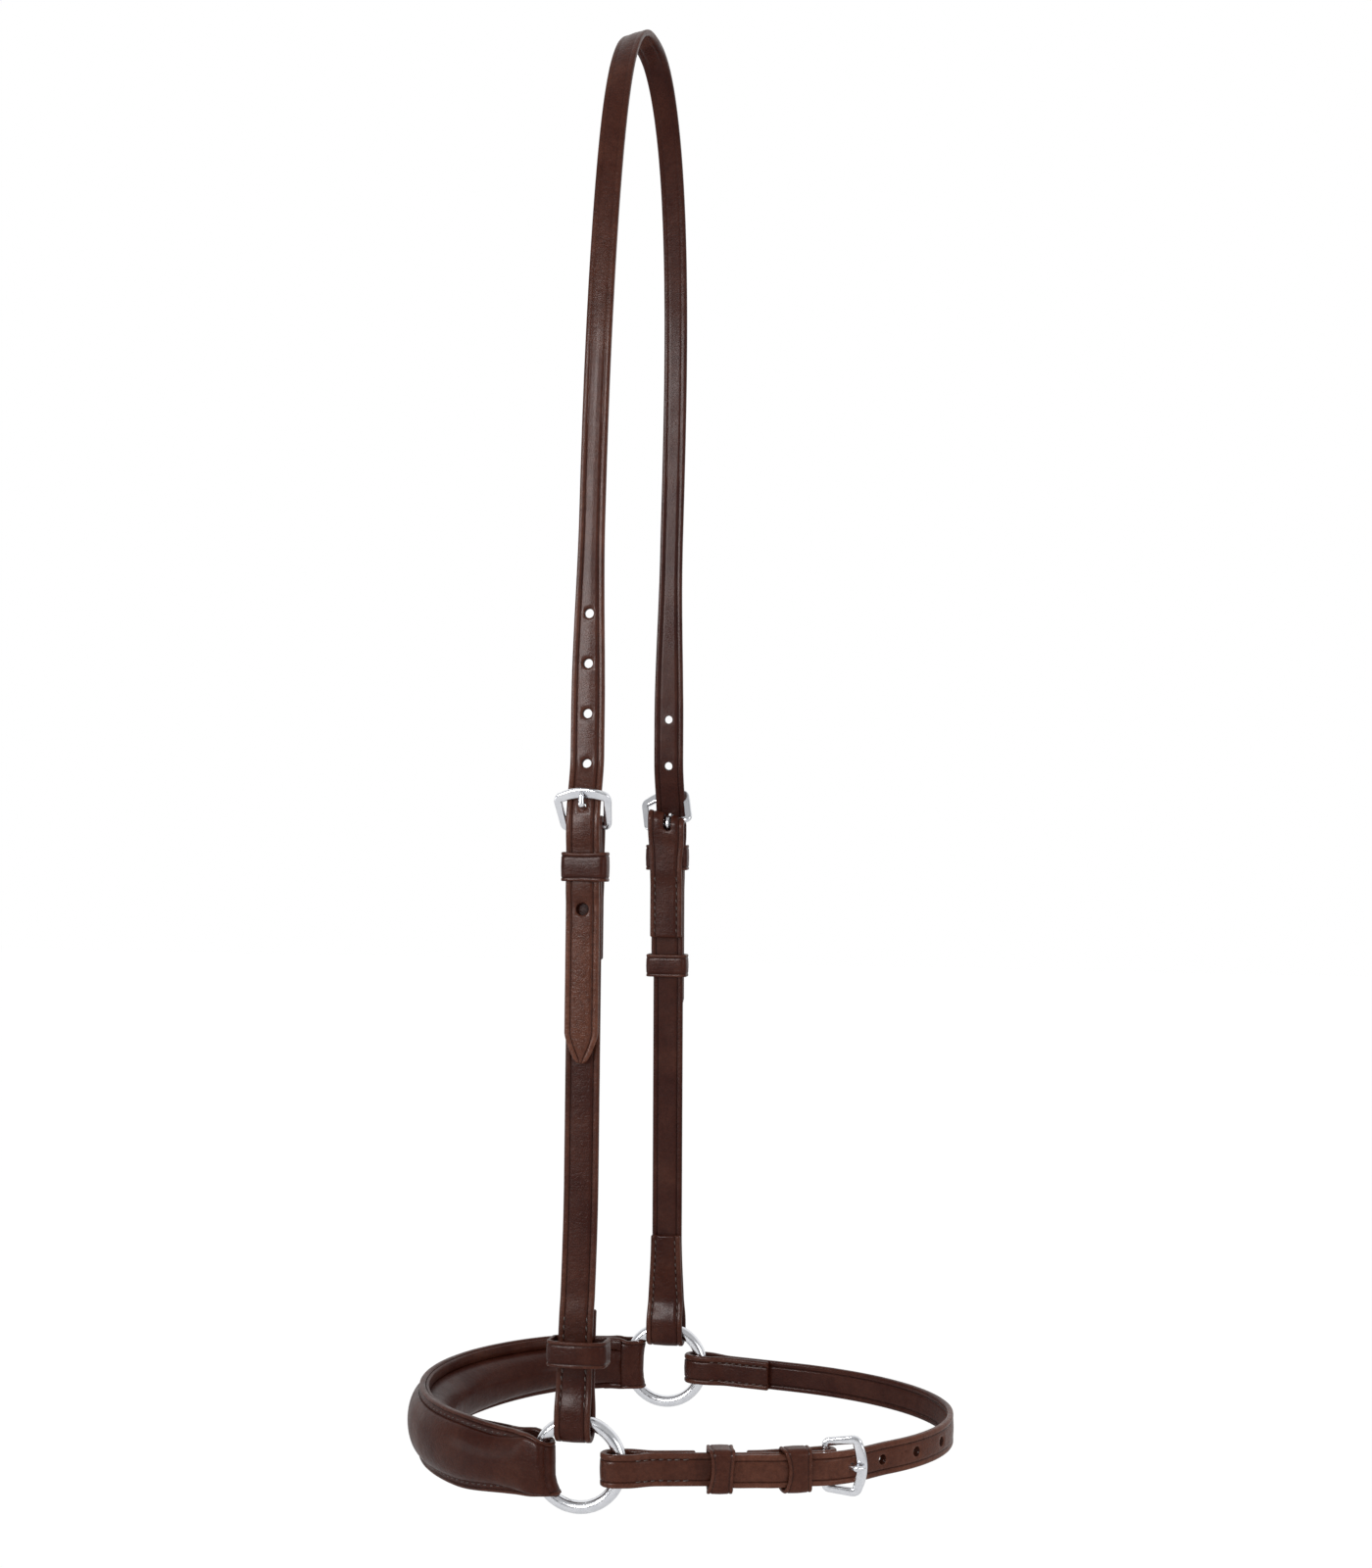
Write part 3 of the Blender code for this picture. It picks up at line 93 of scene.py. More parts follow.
# Buckles
HEEL_BAR_DIAMETER = 0.0024
FRAME_BAR_DIAMETER = 0.0026
HEEL_BAR_CLEARANCE = 0.00035
BUCKLE_LENGTH = 0.0125
CHEEK_BUCKLE_WIDTH = 0.0155
CHIN_BUCKLE_WIDTH = 0.0162
BUCKLE_BOW = 0.0013
BUCKLE_CORNER_RADIUS = 0.0016
PRONG_DIAMETER = 0.0018
PRONG_EYE_GAP = 0.0003
PRONG_EYE_TURN = math.radians(300.0)
PRONG_PAST_BAR = 0.0001
PRONG_SLOT_WIDTH = 0.0030
PRONG_SLOT_SPARE = 0.0006
BILLET_SETTLE = 0.024
SIDE_BAR_HALF = 0.00145
FRONT_BAR_HALF = 0.00200
FRAME_HALF_THICK = 0.00110
FRAME_HEEL_CORNER = 0.0015
FRAME_HEEL_NARROWER = 0.0020
NEAR_FRAME_ASKEW = math.radians(1.5)
FAR_FRAME_ASKEW = math.radians(14.0)
CHIN_FRONT_BAR_BACK = 0.0008
PRONG_BACK_SHARE = 1.4
PRONG_TOP_DROP = 0.0002
PRONG_HALF_THICK = 0.0009
PRONG_EYE_HALVES = (0.00095, 0.00085)
PRONG_RISE_HALF_WIDE = 0.00112
PRONG_TOP_HALF_WIDE = 0.00108
BAR_STEPS = 8
SIDE_BAR_STEPS = 6
PRONG_EYE_STEPS = 24
PRONG_START_STEPS = 5
PRONG_RISE_STEPS = 12
PRONG_TIP_STEPS = 10
PRONG_WIDER_PER_STEP = 0.00003
PRONG_TIP_ROUND_FROM = 0.55
PRONG_TIP_ROUND_OVER = 0.46
PRONG_TIP_NARROWER = 0.25
PRONG_SIDES = 14
BAR_REST_STEPS = 60

# Keepers
KEEPER_THICKNESS = 0.0012
KEEPER_SIDE_CLEARANCE = 0.00035
KEEPER_CORNER = 0.0010
KEEPER_RAMP = 0.0060
CHEEK_KEEPER_HEIGHT = 0.2104
CHEEK_KEEPER_LENGTH = 0.0104
RUNNER_THICKNESS = 0.0013
CHEEK_RUNNER_HEIGHT = 0.1656
CHEEK_RUNNER_LENGTH = 0.0092

# Open loop on the near cheekpiece
BRIDLE_LOOP_HEIGHT = 0.0404
BRIDLE_LOOP_LENGTH = 0.0090
BRIDLE_LOOP_INNER_WIDTH = 0.0172
BRIDLE_LOOP_INNER_DEPTH = 0.0058
BRIDLE_LOOP_BOW = 0.0016
BRIDLE_LOOP_THICKNESS = 0.0014

# Nosepiece. Pairs are for its near and its far end.
NOSE_REACH = 0.0759
NOSE_TOP = 0.0122
NOSE_BOTTOM = 0.0146
NOSE_END_TOP = 0.0108
NOSE_END_BOTTOM = (0.0122, 0.0102)
NOSE_FULL = (0.052, 0.118)
NOSE_SHOULDER = 0.0215
NOSE_TONGUE_END = 0.0178
NOSE_JOIN = 0.0245
NOSE_TURN_BACK = 0.0270
NOSE_CREASE_IN = 0.0013
NOSE_CREASE_DEPTH = 0.00030
NOSE_SEAM_IN = 0.0025
NOSE_SEAM_PAST_SHOULDER = 0.001
NOSE_FOLD_TOP = (0.0068, 0.0098)
NOSE_FOLD_BOTTOM = (0.0094, 0.0098)
NOSE_FOLD_SLACK = (0.0012, 0.0)
NOSE_FOLD_TOP_PULL = (0.0, 0.0012)
NOSE_FOLD_BOTTOM_PULL = (0.0022, 0.0016)
NOSE_NEAR_FOLD_DEPTH = 0.0108
NEAR_BODY_RANGE = (0.0110, 0.0250)
NEAR_BOTTOM_RANGE = (0.0080, 0.0105)
NEAR_TOP_RANGE = (0.0070, 0.0190)
TOP_PULL_REACH = 0.0088
BOTTOM_PULL_START = 0.003
BOTTOM_PULL_REACH = 0.007
MOST_PULL = 1.2
PANEL_START = (0.0104, 0.0140)
PANEL_ROUND = (0.0012, 0.0045)
PANEL_END_BORDER = (0.0006, 0.0034)
PANEL_BORDER = 0.0034
PANEL_BORDER_RANGE = (0.010, 0.034)
PANEL_RISE = 0.0042
PANEL_END_RISE = 0.0024
PANEL_FULL_RISE = 0.055
PANEL_EDGE_POWER = 1.25
PANEL_LIP = 0.0006
PANEL_LIP_STEEPNESS = 6.0
PANEL_SEGMENTS = 26
PANEL_SPACING = 0.0012
PANEL_END_SHARE = 0.25
LINING_DEPTH = 0.0078
LINING_END_DEPTH = 0.0032
LINING_START = 0.0198
LINING_ROUND = 0.0045
LINING_RAMP_START = 0.029
LINING_FULL = 0.044
LINING_BORDER = 0.0006
LINING_EDGE_POWER = 0.8
LINING_FLANGE = 0.0011
LINING_TOP_FLANGE = 0.0042
LINING_BOTTOM_FLANGE = 0.0022
LINING_GROOVE_HEIGHT = LINING_FLANGE * 0.45
LINING_SHOULDER_HEIGHT = LINING_FLANGE * 0.7
LINING_SHOULDER_IN = 0.0004
LINING_GROOVE_WIDTH = 0.0005
LINING_BACK_STEPS = 8
LINING_SPACING = 0.0016
LINING_END_SHARE = 0.30

# Chin strap
CHIN_DROP = 0.0007
CHIN_CENTRE = 0.025
CHIN_REACH = 0.1226
CHIN_HALF_WIDTH = 0.0721
CHIN_STRAP_WIDTH = 0.0116
CHIN_BUCKLE_PLACE = 0.0886
CHIN_RING_TURN_BACK = 0.042
CHIN_BUCKLE_TURN_BACK = 0.060
CHIN_FAR_TURN_BACK = 0.046
CHIN_BILLET_TIP = 0.0505
CHIN_HOLE_PITCH = 0.0169
CHIN_HOLE_COUNT = 3
CHIN_KEEPER_PLACE = 0.0765
CHIN_RUNNER_PLACE = 0.0505
CHIN_KEEPER_LENGTH = 0.0104
CHIN_KEEPER_THICKNESS = 0.0013
CHIN_KEEPER_SIDE_CLEARANCE = 0.0006

# Details that only the looks have
RUN_STEP = 0.0015
FOLD_STEPS = 16
GLIDE_STEPS = 8
BAR_GLIDE_STEPS = 4
PATH_SEGMENTS = 90
LEAN_STEPS = 17
MERGE_DISTANCE = 1e-7
EDGE_RADIUS = 0.00075
EDGE_STEPS = 4
END_CLEAR = 1.2
MARK_GAP = 1e-6
CREASE_IN = 0.0021
CREASE_DEPTH = 0.00036
CROWN_DOME = 0.00012
STRAP_RIPPLE = 0.00006
HEAD_RIPPLE = 0.00005
NOSE_RIPPLE = 0.00008
RIPPLE_ALONG = 120.0
RIPPLE_ACROSS = 160.0
HOLE_MARGIN = 0.0026
HOLE_STEP = 0.00065
HOLE_RIM_HIGHLIGHT = 0.7
HOLE_WALL_SPREAD = 0.0001
THREAD_RADIUS = 0.00030
STITCH_LENGTH = 0.0021
STITCH_SUNK = 0.00018
STITCH_PITCH = 0.0030
STITCH_SIDES = 8
STITCH_SLANT = math.radians(9.0)
STITCH_SHIFT = 0.07
STITCH_ASIDE = 0.0001
STITCH_SCALES = (0.80, 1.08)
SEAM_FROM_RING = 0.002
SEAM_FROM_END = 0.0015
SEAM_FROM_KEEPER = 0.007
LOOP_SPACING = 0.0008
LOOP_CORNER_STEPS = 6
KEEPER_CREASE_IN = 0.0013
KEEPER_CREASE_DEPTH = 0.00022
KEEPER_DOME = 0.00010
KEEPER_EDGE_RADIUS = 0.00042
CHEEK_KEEPER_CURL = (0.0002, 0.0004)
NEAR_KEEPER_STRETCH = 0.0011
FAR_KEEPER_STRETCH = 0.0020
FAR_RUNNER_STRETCH = 0.7 * FAR_KEEPER_STRETCH
LOOP_STRETCH = 0.0013
CHIN_KEEPER_CURL = (0.0020, 0.0002)
CHIN_RUNNER_CURL = (0.0014, 0.0002)
CHIN_RUNNER_VISIBLE_LENGTH = 0.0093
CHIN_RUNNER_SKEW = -0.07
NEAR_FOOT_FORWARD = 0.0016
NEAR_FOOT_LEAN_END = 0.100
FAR_FOOT_WIDTH = 0.0150
FAR_FOLD_FLARE = 0.0009
FAR_FLARE_BELOW_BAR = (0.018, 0.004)
FAR_CHEEK_WIDER = 0.0010
FAR_WIDER_BELOW_BAR = (0.064, 0.052)
FAR_ASKEW_BELOW_BAR = 0.022
FAR_ASKEW_FADE = 0.020
CROWN_TILT = 0.25
CROWN_TILT_FROM_TOP = (0.085, 0.020)
CREASE_FADE_RANGE = (0.300, 0.420)
CROWN_CREASES = 0.30
BILLET_TIP_POWER = 0.55
CHIN_TIP_LENGTH = 0.0046
RING_FOLD_REST = 0.0001
NEAR_PRONG_HOLE = 0.0070
FAR_PRONG_HOLE = 0.0030
CHIN_PRONG_HOLE = 0.0072
VISIBLE_PRONG_HOLE_CORE = 0.0002
VISIBLE_PRONG_HOLE_RADIUS = 0.00096
PRONG_RISE_BEFORE = 0.0022
PRONG_RISE_AFTER = 0.0009
WIDE_HOLE_RADIUS = 0.0022
CHIN_HOLE_BACK = 0.40
RING_STEPS = 144
WIRE_STEPS = 24

# Values worked out from the sizes above
SKIN = LEATHER / 2
RING_WIRE_R = RING_WIRE_DIAMETER / 2
RING_MEAN_R = (RING_OUTER_DIAMETER - RING_WIRE_DIAMETER) / 2
RING_INNER_R = RING_MEAN_R - RING_WIRE_R
RING_Z = -POLL_HEIGHT
LAYER_OFFSET = (LEATHER + LAYER_GAP) / 2
KEEPER_OFFSET = (LEATHER + KEEPER_THICKNESS) / 2 + FIT_GAP
CHIN_KEEPER_OFFSET = (LEATHER + CHIN_KEEPER_THICKNESS) / 2 + FIT_GAP
LOOP_OFFSET = (LEATHER + BRIDLE_LOOP_THICKNESS) / 2 + FIT_GAP
RING_FOLD_OFFSET = RING_WIRE_R + RING_FOLD_CLEARANCE + SKIN
HEEL_BAR_R = HEEL_BAR_DIAMETER / 2
FRAME_BAR_R = FRAME_BAR_DIAMETER / 2
BAR_FOLD_OFFSET = HEEL_BAR_R + HEEL_BAR_CLEARANCE + SKIN
BILLET_OVER_BAR = BAR_FOLD_OFFSET + LEATHER + FIT_GAP
PRONG_R = PRONG_DIAMETER / 2
PRONG_EYE_R = HEEL_BAR_R + PRONG_EYE_GAP + PRONG_R
COVER_GAP = LAYER_GAP * 0.5
SEAM_RING_START = RING_OUTER_DIAMETER / 2 + SEAM_FROM_RING

# A pressed crease as (from its middle, share of its depth, band, groove); band is the painted
# highlight on its lip, groove the painted shade in it
CREASE_PROFILE = (
    (-0.00050, 0.0, 1.0, 0.0),
    (-0.00020, 0.55, 0.9, 0.5),
    (0.0, 1.0, 0.5, 1.0),
    (0.00020, 0.55, 0.2, 0.5),
    (0.00052, 0.0, 0.0, 0.0),
)
MIDDLE_SHARES = (0.235, 0.618)
HALF_COLUMNS = EDGE_STEPS + 1 + len(CREASE_PROFILE) + len(MIDDLE_SHARES)
COLUMNS = 2 * HALF_COLUMNS + 1

# A hole's rim and wall as (past its radius, rise over the face), a strap's rounded end as
# shares of its edge radius, and a stitch as (share of length, lift, thickness) in radii
HOLE_FRONT_RINGS = ((0.00050, -0.00002), (0.00026, -0.00012), (0.00006, -0.00034), (0.0, -0.00060))
HOLE_BACK_RINGS = ((0.0, -0.00040), (0.00020, 0.0))
END_INSETS = (0.0, 0.18, 0.42, 0.72, 1.0)
STITCH_RINGS = (
    (-0.5, -0.9, 0.5), (-0.36, -0.1, 0.95), (-0.12, 0.25, 1.0),
    (0.12, 0.25, 1.0), (0.36, -0.1, 0.95), (0.5, -0.9, 0.5),
)


def smooth(share):
    share = min(max(share, 0.0), 1.0)
    return share * share * (3.0 - 2.0 * share)


def ease(start, end, low, high, place):
    return low + (high - low) * smooth((place - start) / (end - start))


def find_mark(marks, value):
    """The mark before a value, and how far towards the next one the value lies."""
    index = min(max(bisect.bisect_left(marks, value) - 1, 0), len(marks) - 2)
    return index, (value - marks[index]) / (marks[index + 1] - marks[index])


def running_length(points):
    marks = [0.0]
    for first, second in zip(points, points[1:]):
        marks.append(marks[-1] + (second - first).length)
    return marks


class StrapPath:
    """A strap's centre line in one plane, read by its length from the first point."""

    def __init__(self, points, across):
        self.points = [Vector(point) for point in points]
        self.across = Vector(across)
        self.marks = running_length(self.points)
        self.length = self.marks[-1]

    def point(self, place):
        index, share = find_mark(self.marks, place)
        return self.points[index].lerp(self.points[index + 1], share)

    def along(self, place):
        ahead = self.point(place + TANGENT_REACH)
        return (ahead - self.point(place - TANGENT_REACH)).normalized()

    def outward(self, place):
        return self.across.cross(self.along(place)).normalized()

    def matrix(self, place, tilt=0.0):
        """Local X across the strap, Y along it and Z outward, turned about X by tilt."""
        turn = Matrix((self.across, self.along(place), self.outward(place))).transposed()
        place_at = Matrix.Translation(self.point(place))
        return place_at @ turn.to_4x4() @ Matrix.Rotation(tilt, 4, "X")

    def locate(self, place, rise, sideways):
        return self.point(place) + self.outward(place) * rise + self.across * sideways


def ring_to_ring(near_half, side, across):
    """A path from the near ring to the far one, or the other way round for side 1."""
    points = near_half + [Vector((p.x, -p.y, p.z)) for p in reversed(near_half[:-1])]
    return StrapPath(reversed(points) if side > 0 else points, across)


def head_path(side):
    near_half = [Vector((0.0, -RING_HALF_SPAN, RING_Z))]
    arch_half_width = RING_HALF_SPAN - ARCH_BASE * math.tan(CHEEK_LEAN)
    for step in range(1, LEAN_STEPS):
        share = step / LEAN_STEPS
        inward = RING_HALF_SPAN + (arch_half_width - RING_HALF_SPAN) * share
        near_half.append(Vector((0.0, -inward, RING_Z + ARCH_BASE * share)))
    crown = SKIN - (RING_Z + ARCH_BASE)
    for step in range(PATH_SEGMENTS + 1):
        angle = math.pi / 2 * step / PATH_SEGMENTS
        reach = math.cos(angle) ** (2 / ARCH_POWER)
        rise = math.sin(angle) ** (2 / ARCH_POWER)
        height = RING_Z + ARCH_BASE + crown * rise
        near_half.append(Vector((0.0, -arch_half_width * reach, height)))
    for point in near_half:
        point.x = ease(SET_BACK_START, SET_BACK_END, 0.0, CROWN_SET_BACK, point.z - RING_Z)
    return ring_to_ring(near_half, side, (-float(side), 0.0, 0.0))


def chin_path(side):
    reach = CHIN_REACH - CHIN_CENTRE
    ahead = (RING_MEAN_R - CHIN_CENTRE) / reach
    aside = RING_HALF_SPAN / CHIN_HALF_WIDTH
    touch = math.atan2(aside, ahead) - math.acos(1.0 / math.hypot(ahead, aside))
    height = RING_Z - CHIN_DROP
    near_half = []
    for step in range(PATH_SEGMENTS + 1):
        angle = touch * (1.0 - step / PATH_SEGMENTS)
        forward = CHIN_CENTRE + reach * math.cos(angle)
        near_half.append(Vector((forward, -CHIN_HALF_WIDTH * math.sin(angle), height)))
    wire = Vector((RING_MEAN_R, -RING_HALF_SPAN, height))
    slope = (near_half[0] - wire).normalized()
    near_half.insert(0, wire - slope * (RING_MEAN_R / slope.x))
    return ring_to_ring(near_half, side, (0.0, 0.0, float(side)))


def nose_path():
    ahead = RING_MEAN_R / NOSE_REACH
    half_width = RING_HALF_SPAN / math.sqrt(1.0 - ahead * ahead)
    touch = math.acos(ahead)
    near_half = []
    for step in range(PATH_SEGMENTS + 1):
        angle = touch * (1.0 - step / PATH_SEGMENTS)
        forward, aside = NOSE_REACH * math.cos(angle), half_width * math.sin(angle)
        near_half.append(Vector((-forward, -aside, RING_Z)))
    slope = (near_half[1] - near_half[0]).normalized()
    near_half.insert(0, near_half[0] + slope * (RING_MEAN_R / slope.x))
    return ring_to_ring(near_half, -1, (0.0, 0.0, 1.0))


def glide(start, end, steps=GLIDE_STEPS):
    """Points (place, rise) from start to end with a smooth change of rise, start left out."""
    points = []
    for step in range(1, steps + 1):
        share = step / steps
        place = start[0] + (end[0] - start[0]) * share
        points.append((place, start[1] + (end[1] - start[1]) * smooth(share)))
    return points


def half_turn(centre, radius, sign):
    """A fold as (place, rise) points: sign 1 round a buckle's bar, -1 round a ring's wire."""
    points = []
    for step in range(FOLD_STEPS + 1):
        angle = math.pi / 2 - math.pi * step / FOLD_STEPS
        points.append((centre + sign * radius * math.cos(angle), sign * radius * math.sin(angle)))
    return points


def fold_stop(reach_sideways, clearance=RING_FOLD_CLEARANCE):
    clear = RING_INNER_R * RING_INNER_R - reach_sideways * reach_sideways
    return math.sqrt(clear) - clearance


def ring_fold(stop, inner_rise, outer_rise, join):
    """The fold round a ring, from the inner layer to the outer one."""
    centre = stop + RING_FOLD_OFFSET - SKIN
    straight_end = RING_OUTER_DIAMETER / 2
    points = [(join, inner_rise)]
    points += glide((join, inner_rise), (straight_end, -RING_FOLD_OFFSET))
    points += half_turn(centre, RING_FOLD_OFFSET, -1)
    points += [(straight_end, RING_FOLD_OFFSET)]
    points += glide((straight_end, RING_FOLD_OFFSET), (join, outer_rise))
    return points


def buckle_fold(heel, keeper_place, keeper_length, keeper_offset, turn_back):
    """A strap's layers over its keeper, round the buckle's bar and back to their end."""
    low = keeper_place - keeper_length / 2 - FIT_GAP
    high = keeper_place + keeper_length / 2
    start = heel - BAR_FOLD_OFFSET
    foot = low - KEEPER_RAMP
    line = [(foot, LAYER_OFFSET)]
    line += glide((foot, LAYER_OFFSET), (low, keeper_offset))
    line += [(high, keeper_offset)]
    line += glide((high, keeper_offset), (start, BAR_FOLD_OFFSET), BAR_GLIDE_STEPS)
    line += half_turn(heel, BAR_FOLD_OFFSET, 1)
    line += glide((start, -BAR_FOLD_OFFSET), (high, -keeper_offset), BAR_GLIDE_STEPS)
    line += [(low, -keeper_offset)]
    line += glide((low, -keeper_offset), (foot, -LAYER_OFFSET))
    return line + [(turn_back, -LAYER_OFFSET)]


def billet_rise(heel, keeper_place, keeper_length, keeper_offset, root_rise):
    """How high a billet lies over the strap that it is buckled to, as a function of place."""
    under_tip = LAYER_OFFSET + LEATHER + FIT_GAP
    keeper_from = keeper_place - keeper_length / 2 - FIT_GAP
    keeper_to = keeper_place + keeper_length / 2
    keeper_rise = keeper_offset + LEATHER + FIT_GAP
    fold_from = heel - BAR_FOLD_OFFSET
    fold_to = heel + BAR_FOLD_OFFSET - SKIN
    ramp_end = keeper_from - LEATHER

    def rise(place):
        if place <= keeper_from:
            return ease(ramp_end - KEEPER_RAMP, ramp_end, under_tip, keeper_rise, place)
        if place <= keeper_to:
            return keeper_rise
        if place <= fold_to:
            return ease(keeper_to, fold_from, keeper_rise, BILLET_OVER_BAR, place)
        return ease(fold_to, fold_to + BILLET_SETTLE, BILLET_OVER_BAR, root_rise, place)

    return rise


class Ribbon:
    """A strap's middle layer as close stations, read by its own length from one end."""

    def __init__(self, path, line):
        self.across = path.across
        points = [line[0]]
        for first, second in zip(line, line[1:]):
            length = math.hypot(second[0] - first[0], second[1] - first[1])
            if length < MERGE_DISTANCE:
                continue
            count = max(1, math.ceil(length / RUN_STEP))
            for index in range(1, count + 1):
                share = index / count
                points.append(tuple(a + (b - a) * share for a, b in zip(first, second)))
        self.places = [place for place, _rise in points]
        self.positions = [path.locate(place, rise, 0.0) for place, rise in points]
        self.marks = running_length(self.positions)
        self.length = self.marks[-1]
        self.normals = []
        last = len(points) - 1
        for index in range(last + 1):
            ahead = self.positions[min(index + 1, last)] - self.positions[max(index - 1, 0)]
            self.normals.append(self.across.cross(ahead).normalized())

    def place(self, length):
        index, share = find_mark(self.marks, length)
        return self.places[index] + (self.places[index + 1] - self.places[index]) * share

    def normal(self, length):
        index, share = find_mark(self.marks, length)
        return self.normals[index].lerp(self.normals[index + 1], share).normalized()

    def spot(self, length, sideways, rise):
        index, share = find_mark(self.marks, length)
        base = self.positions[index].lerp(self.positions[index + 1], share)
        return base + self.across * sideways + self.normal(length) * rise

    def length_at(self, place):
        """The strap's own length where its last layer passes a place."""
        found = None
        for index in range(len(self.places) - 1):
            low, high = self.places[index], self.places[index + 1]
            if min(low, high) <= place <= max(low, high) and low != high:
                share = (place - low) / (high - low)
                found = self.marks[index] + (self.marks[index + 1] - self.marks[index]) * share
        return found


def half_profile(half, top, crease_in, depth, dome, edge_radius):
    """One half of a strap's face as (from_edge, height, band, groove), edge first."""
    radius = min(edge_radius, half, top)
    needed = crease_in + CREASE_PROFILE[-1][0] + TANGENT_REACH
    scale = min(1.0, half / needed)
    deep = depth * smooth((half - radius) / crease_in)
    points = []
    for step in range(EDGE_STEPS + 1):
        angle = math.pi / 2 * step / EDGE_STEPS
        points.append((
            radius * (1 - math.cos(angle)) * scale, top - radius * (1 - math.sin(angle)), 1.0, 0.0,
        ))
    for offset, share, band, groove in CREASE_PROFILE:
        points.append(((crease_in + offset) * scale, top - deep * share, band, groove))
    start = points[-1][0]
    for share in (*MIDDLE_SHARES, 1.0):
        points.append((start + (half - start) * share, top + dome * smooth(share), 0.0, 0.0))
    return points


def section(low, high, top, crease_in, front, back, dome=CROWN_DOME, edge_radius=EDGE_RADIUS):
    """A strap's closed outline as (sideways, rise, band, groove). front and back are depths."""
    middle, half = (high - low) / 2, (high + low) / 2
    outline = []
    for depth, bulge, face in ((front, dome, 1.0), (back, 0.0, -1.0)):
        side = half_profile(half, top, crease_in, depth, bulge, edge_radius)
        side = [(e, h, b if face > 0 else b - 1.0, g) for e, h, b, g in side]
        row = [(middle - face * (half - e), face * h, b, g) for e, h, b, g in side]
        row += [(middle + face * (half - e), face * h, b, g) for e, h, b, g in reversed(side[:-1])]
        outline += row
    return outline


def link_object(name, data):
    made = bpy.data.objects.new(name, data)
    bpy.context.scene.collection.objects.link(made)
    return made


class Skin:
    """A mesh that is being put together, with how much painted highlight (band) and painted shade
    (groove) each point has.
    """

    def __init__(self):
        self.points = []
        self.band = []
        self.groove = []
        self.faces = []

    def add(self, point, band=0.0, groove=0.0):
        self.points.append(point)
        self.band.append(band)
        self.groove.append(groove)
        return len(self.points) - 1

    def row(self, points, band=0.0, groove=0.0):
        return [self.add(point, band, groove) for point in points]

    def join(self, first, second, closed=True):
        """Quads between two rows of the same length."""
        count = len(first)
        for index in range(count if closed else count - 1):
            other = (index + 1) % count
            self.faces.append((first[index], first[other], second[other], second[index]))

    def piece(self, name, material, body, slot=None, sharp=50.0, more=(), painted_light=None):
        mesh = bpy.data.meshes.new(name)
        mesh.from_pydata([tuple(point) for point in self.points], [], self.faces)
        layers = [("band", self.band), ("groove", self.groove)]
        if painted_light is not None:
            layers.append(("painted_light", [painted_light(point) for point in self.points]))
        for key, values in layers:
            layer = mesh.attributes.new(key, "FLOAT", "POINT")
            layer.data.foreach_set("value", values)
        work = bmesh.new()
        work.from_mesh(mesh)
        bmesh.ops.recalc_face_normals(work, faces=work.faces)
        work.to_mesh(mesh)
        work.free()
        mesh.materials.append(material)
        mesh.shade_smooth()
        mesh.set_sharp_from_angle(angle=math.radians(sharp))
        made = link_object(name, mesh)
        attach(made, body)
        if more:
            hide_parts(*more)
        return made


class Hole:
    """A punched hole: where its middle is along the strap, half its straight part, its radius."""

    def __init__(self, middle, core=0.0, radius=HOLE_DIAMETER / 2, back=1.0):
        self.middle, self.core, self.radius, self.back = middle, core, radius, back
        self.low = middle - core - HOLE_MARGIN
        self.high = middle + core + HOLE_MARGIN


def strap_marks(length, holes):
    """Stations along a strap, close together where there are holes and at its ends."""
    marks = [EDGE_RADIUS * share for share in END_INSETS]
    marks += [length - mark for mark in marks]
    blocked = []
    for hole in holes:
        count = round((hole.high - hole.low) / HOLE_STEP)
        marks += [hole.low + (hole.high - hole.low) * k / count for k in range(count + 1)]
        blocked.append((hole.low - RUN_STEP / 3, hole.high + RUN_STEP / 3))
    count = round(length / RUN_STEP)
    end = END_CLEAR * EDGE_RADIUS
    for k in range(1, count):
        mark = length * k / count
        if end < mark < length - end and all(mark < low or mark > high for low, high in blocked):
            marks.append(mark)
    marks = sorted(marks)
    kept = [marks[0]]
    for mark in marks[1:]:
        if mark - kept[-1] > MARK_GAP:
            kept.append(mark)
    return kept


def punch(skin, ribbon, rows, marks, hole, shift):
    """Take the strap's middle out between the hole's stations and put the hole's rim there."""
    first = min(range(len(marks)), key=lambda k: abs(marks[k] - hole.low))
    last = min(range(len(marks)), key=lambda k: abs(marks[k] - hole.high))
    left, right = HALF_COLUMNS - 2, HALF_COLUMNS + 2
    walk = [(first, j) for j in range(left, right)]
    walk += [(i, right) for i in range(first, last)]
    walk += [(last, j) for j in range(right, left, -1)]
    walk += [(i, left) for i in range(last, first, -1)]
    previous = [rows[i][j] for i, j in walk]
    behind = [rows[i][2 * COLUMNS - 1 - j] for i, j in walk]
    spots = []
    for (i, _j), point in zip(walk, behind):
        along = marks[i] - hole.middle
        sideways = (skin.points[point] - ribbon.spot(marks[i], 0.0, 0.0)).dot(ribbon.across)
        inside = min(max(along, -hole.core), hole.core)
        spots.append((inside, Vector((along - inside, sideways)).normalized()))
    rings = [(spread, SKIN + drop, 1.0) for spread, drop in HOLE_FRONT_RINGS]
    rings += [(spread, -SKIN - drop, hole.back) for spread, drop in HOLE_BACK_RINGS]
    for spread, rise, scale in rings:
        reach = hole.radius * scale + spread
        # The rim is painted paler as a painted highlight, and the wall darker as painted shade
        look = (0.0, 1.0) if spread < HOLE_WALL_SPREAD else (HOLE_RIM_HIGHLIGHT, 0.0)
        ring = []
        for inside, away in spots:
            length = hole.middle + inside + away.x * reach
            point = ribbon.spot(length, away.y * reach, rise)
            if shift is not None:
                point = point + shift(ribbon.place(length), away.y * reach)
            ring.append(skin.add(point, *look))
        skin.join(previous, ring)
        previous = ring
    skin.join(previous, behind)
    return first, last, left, right


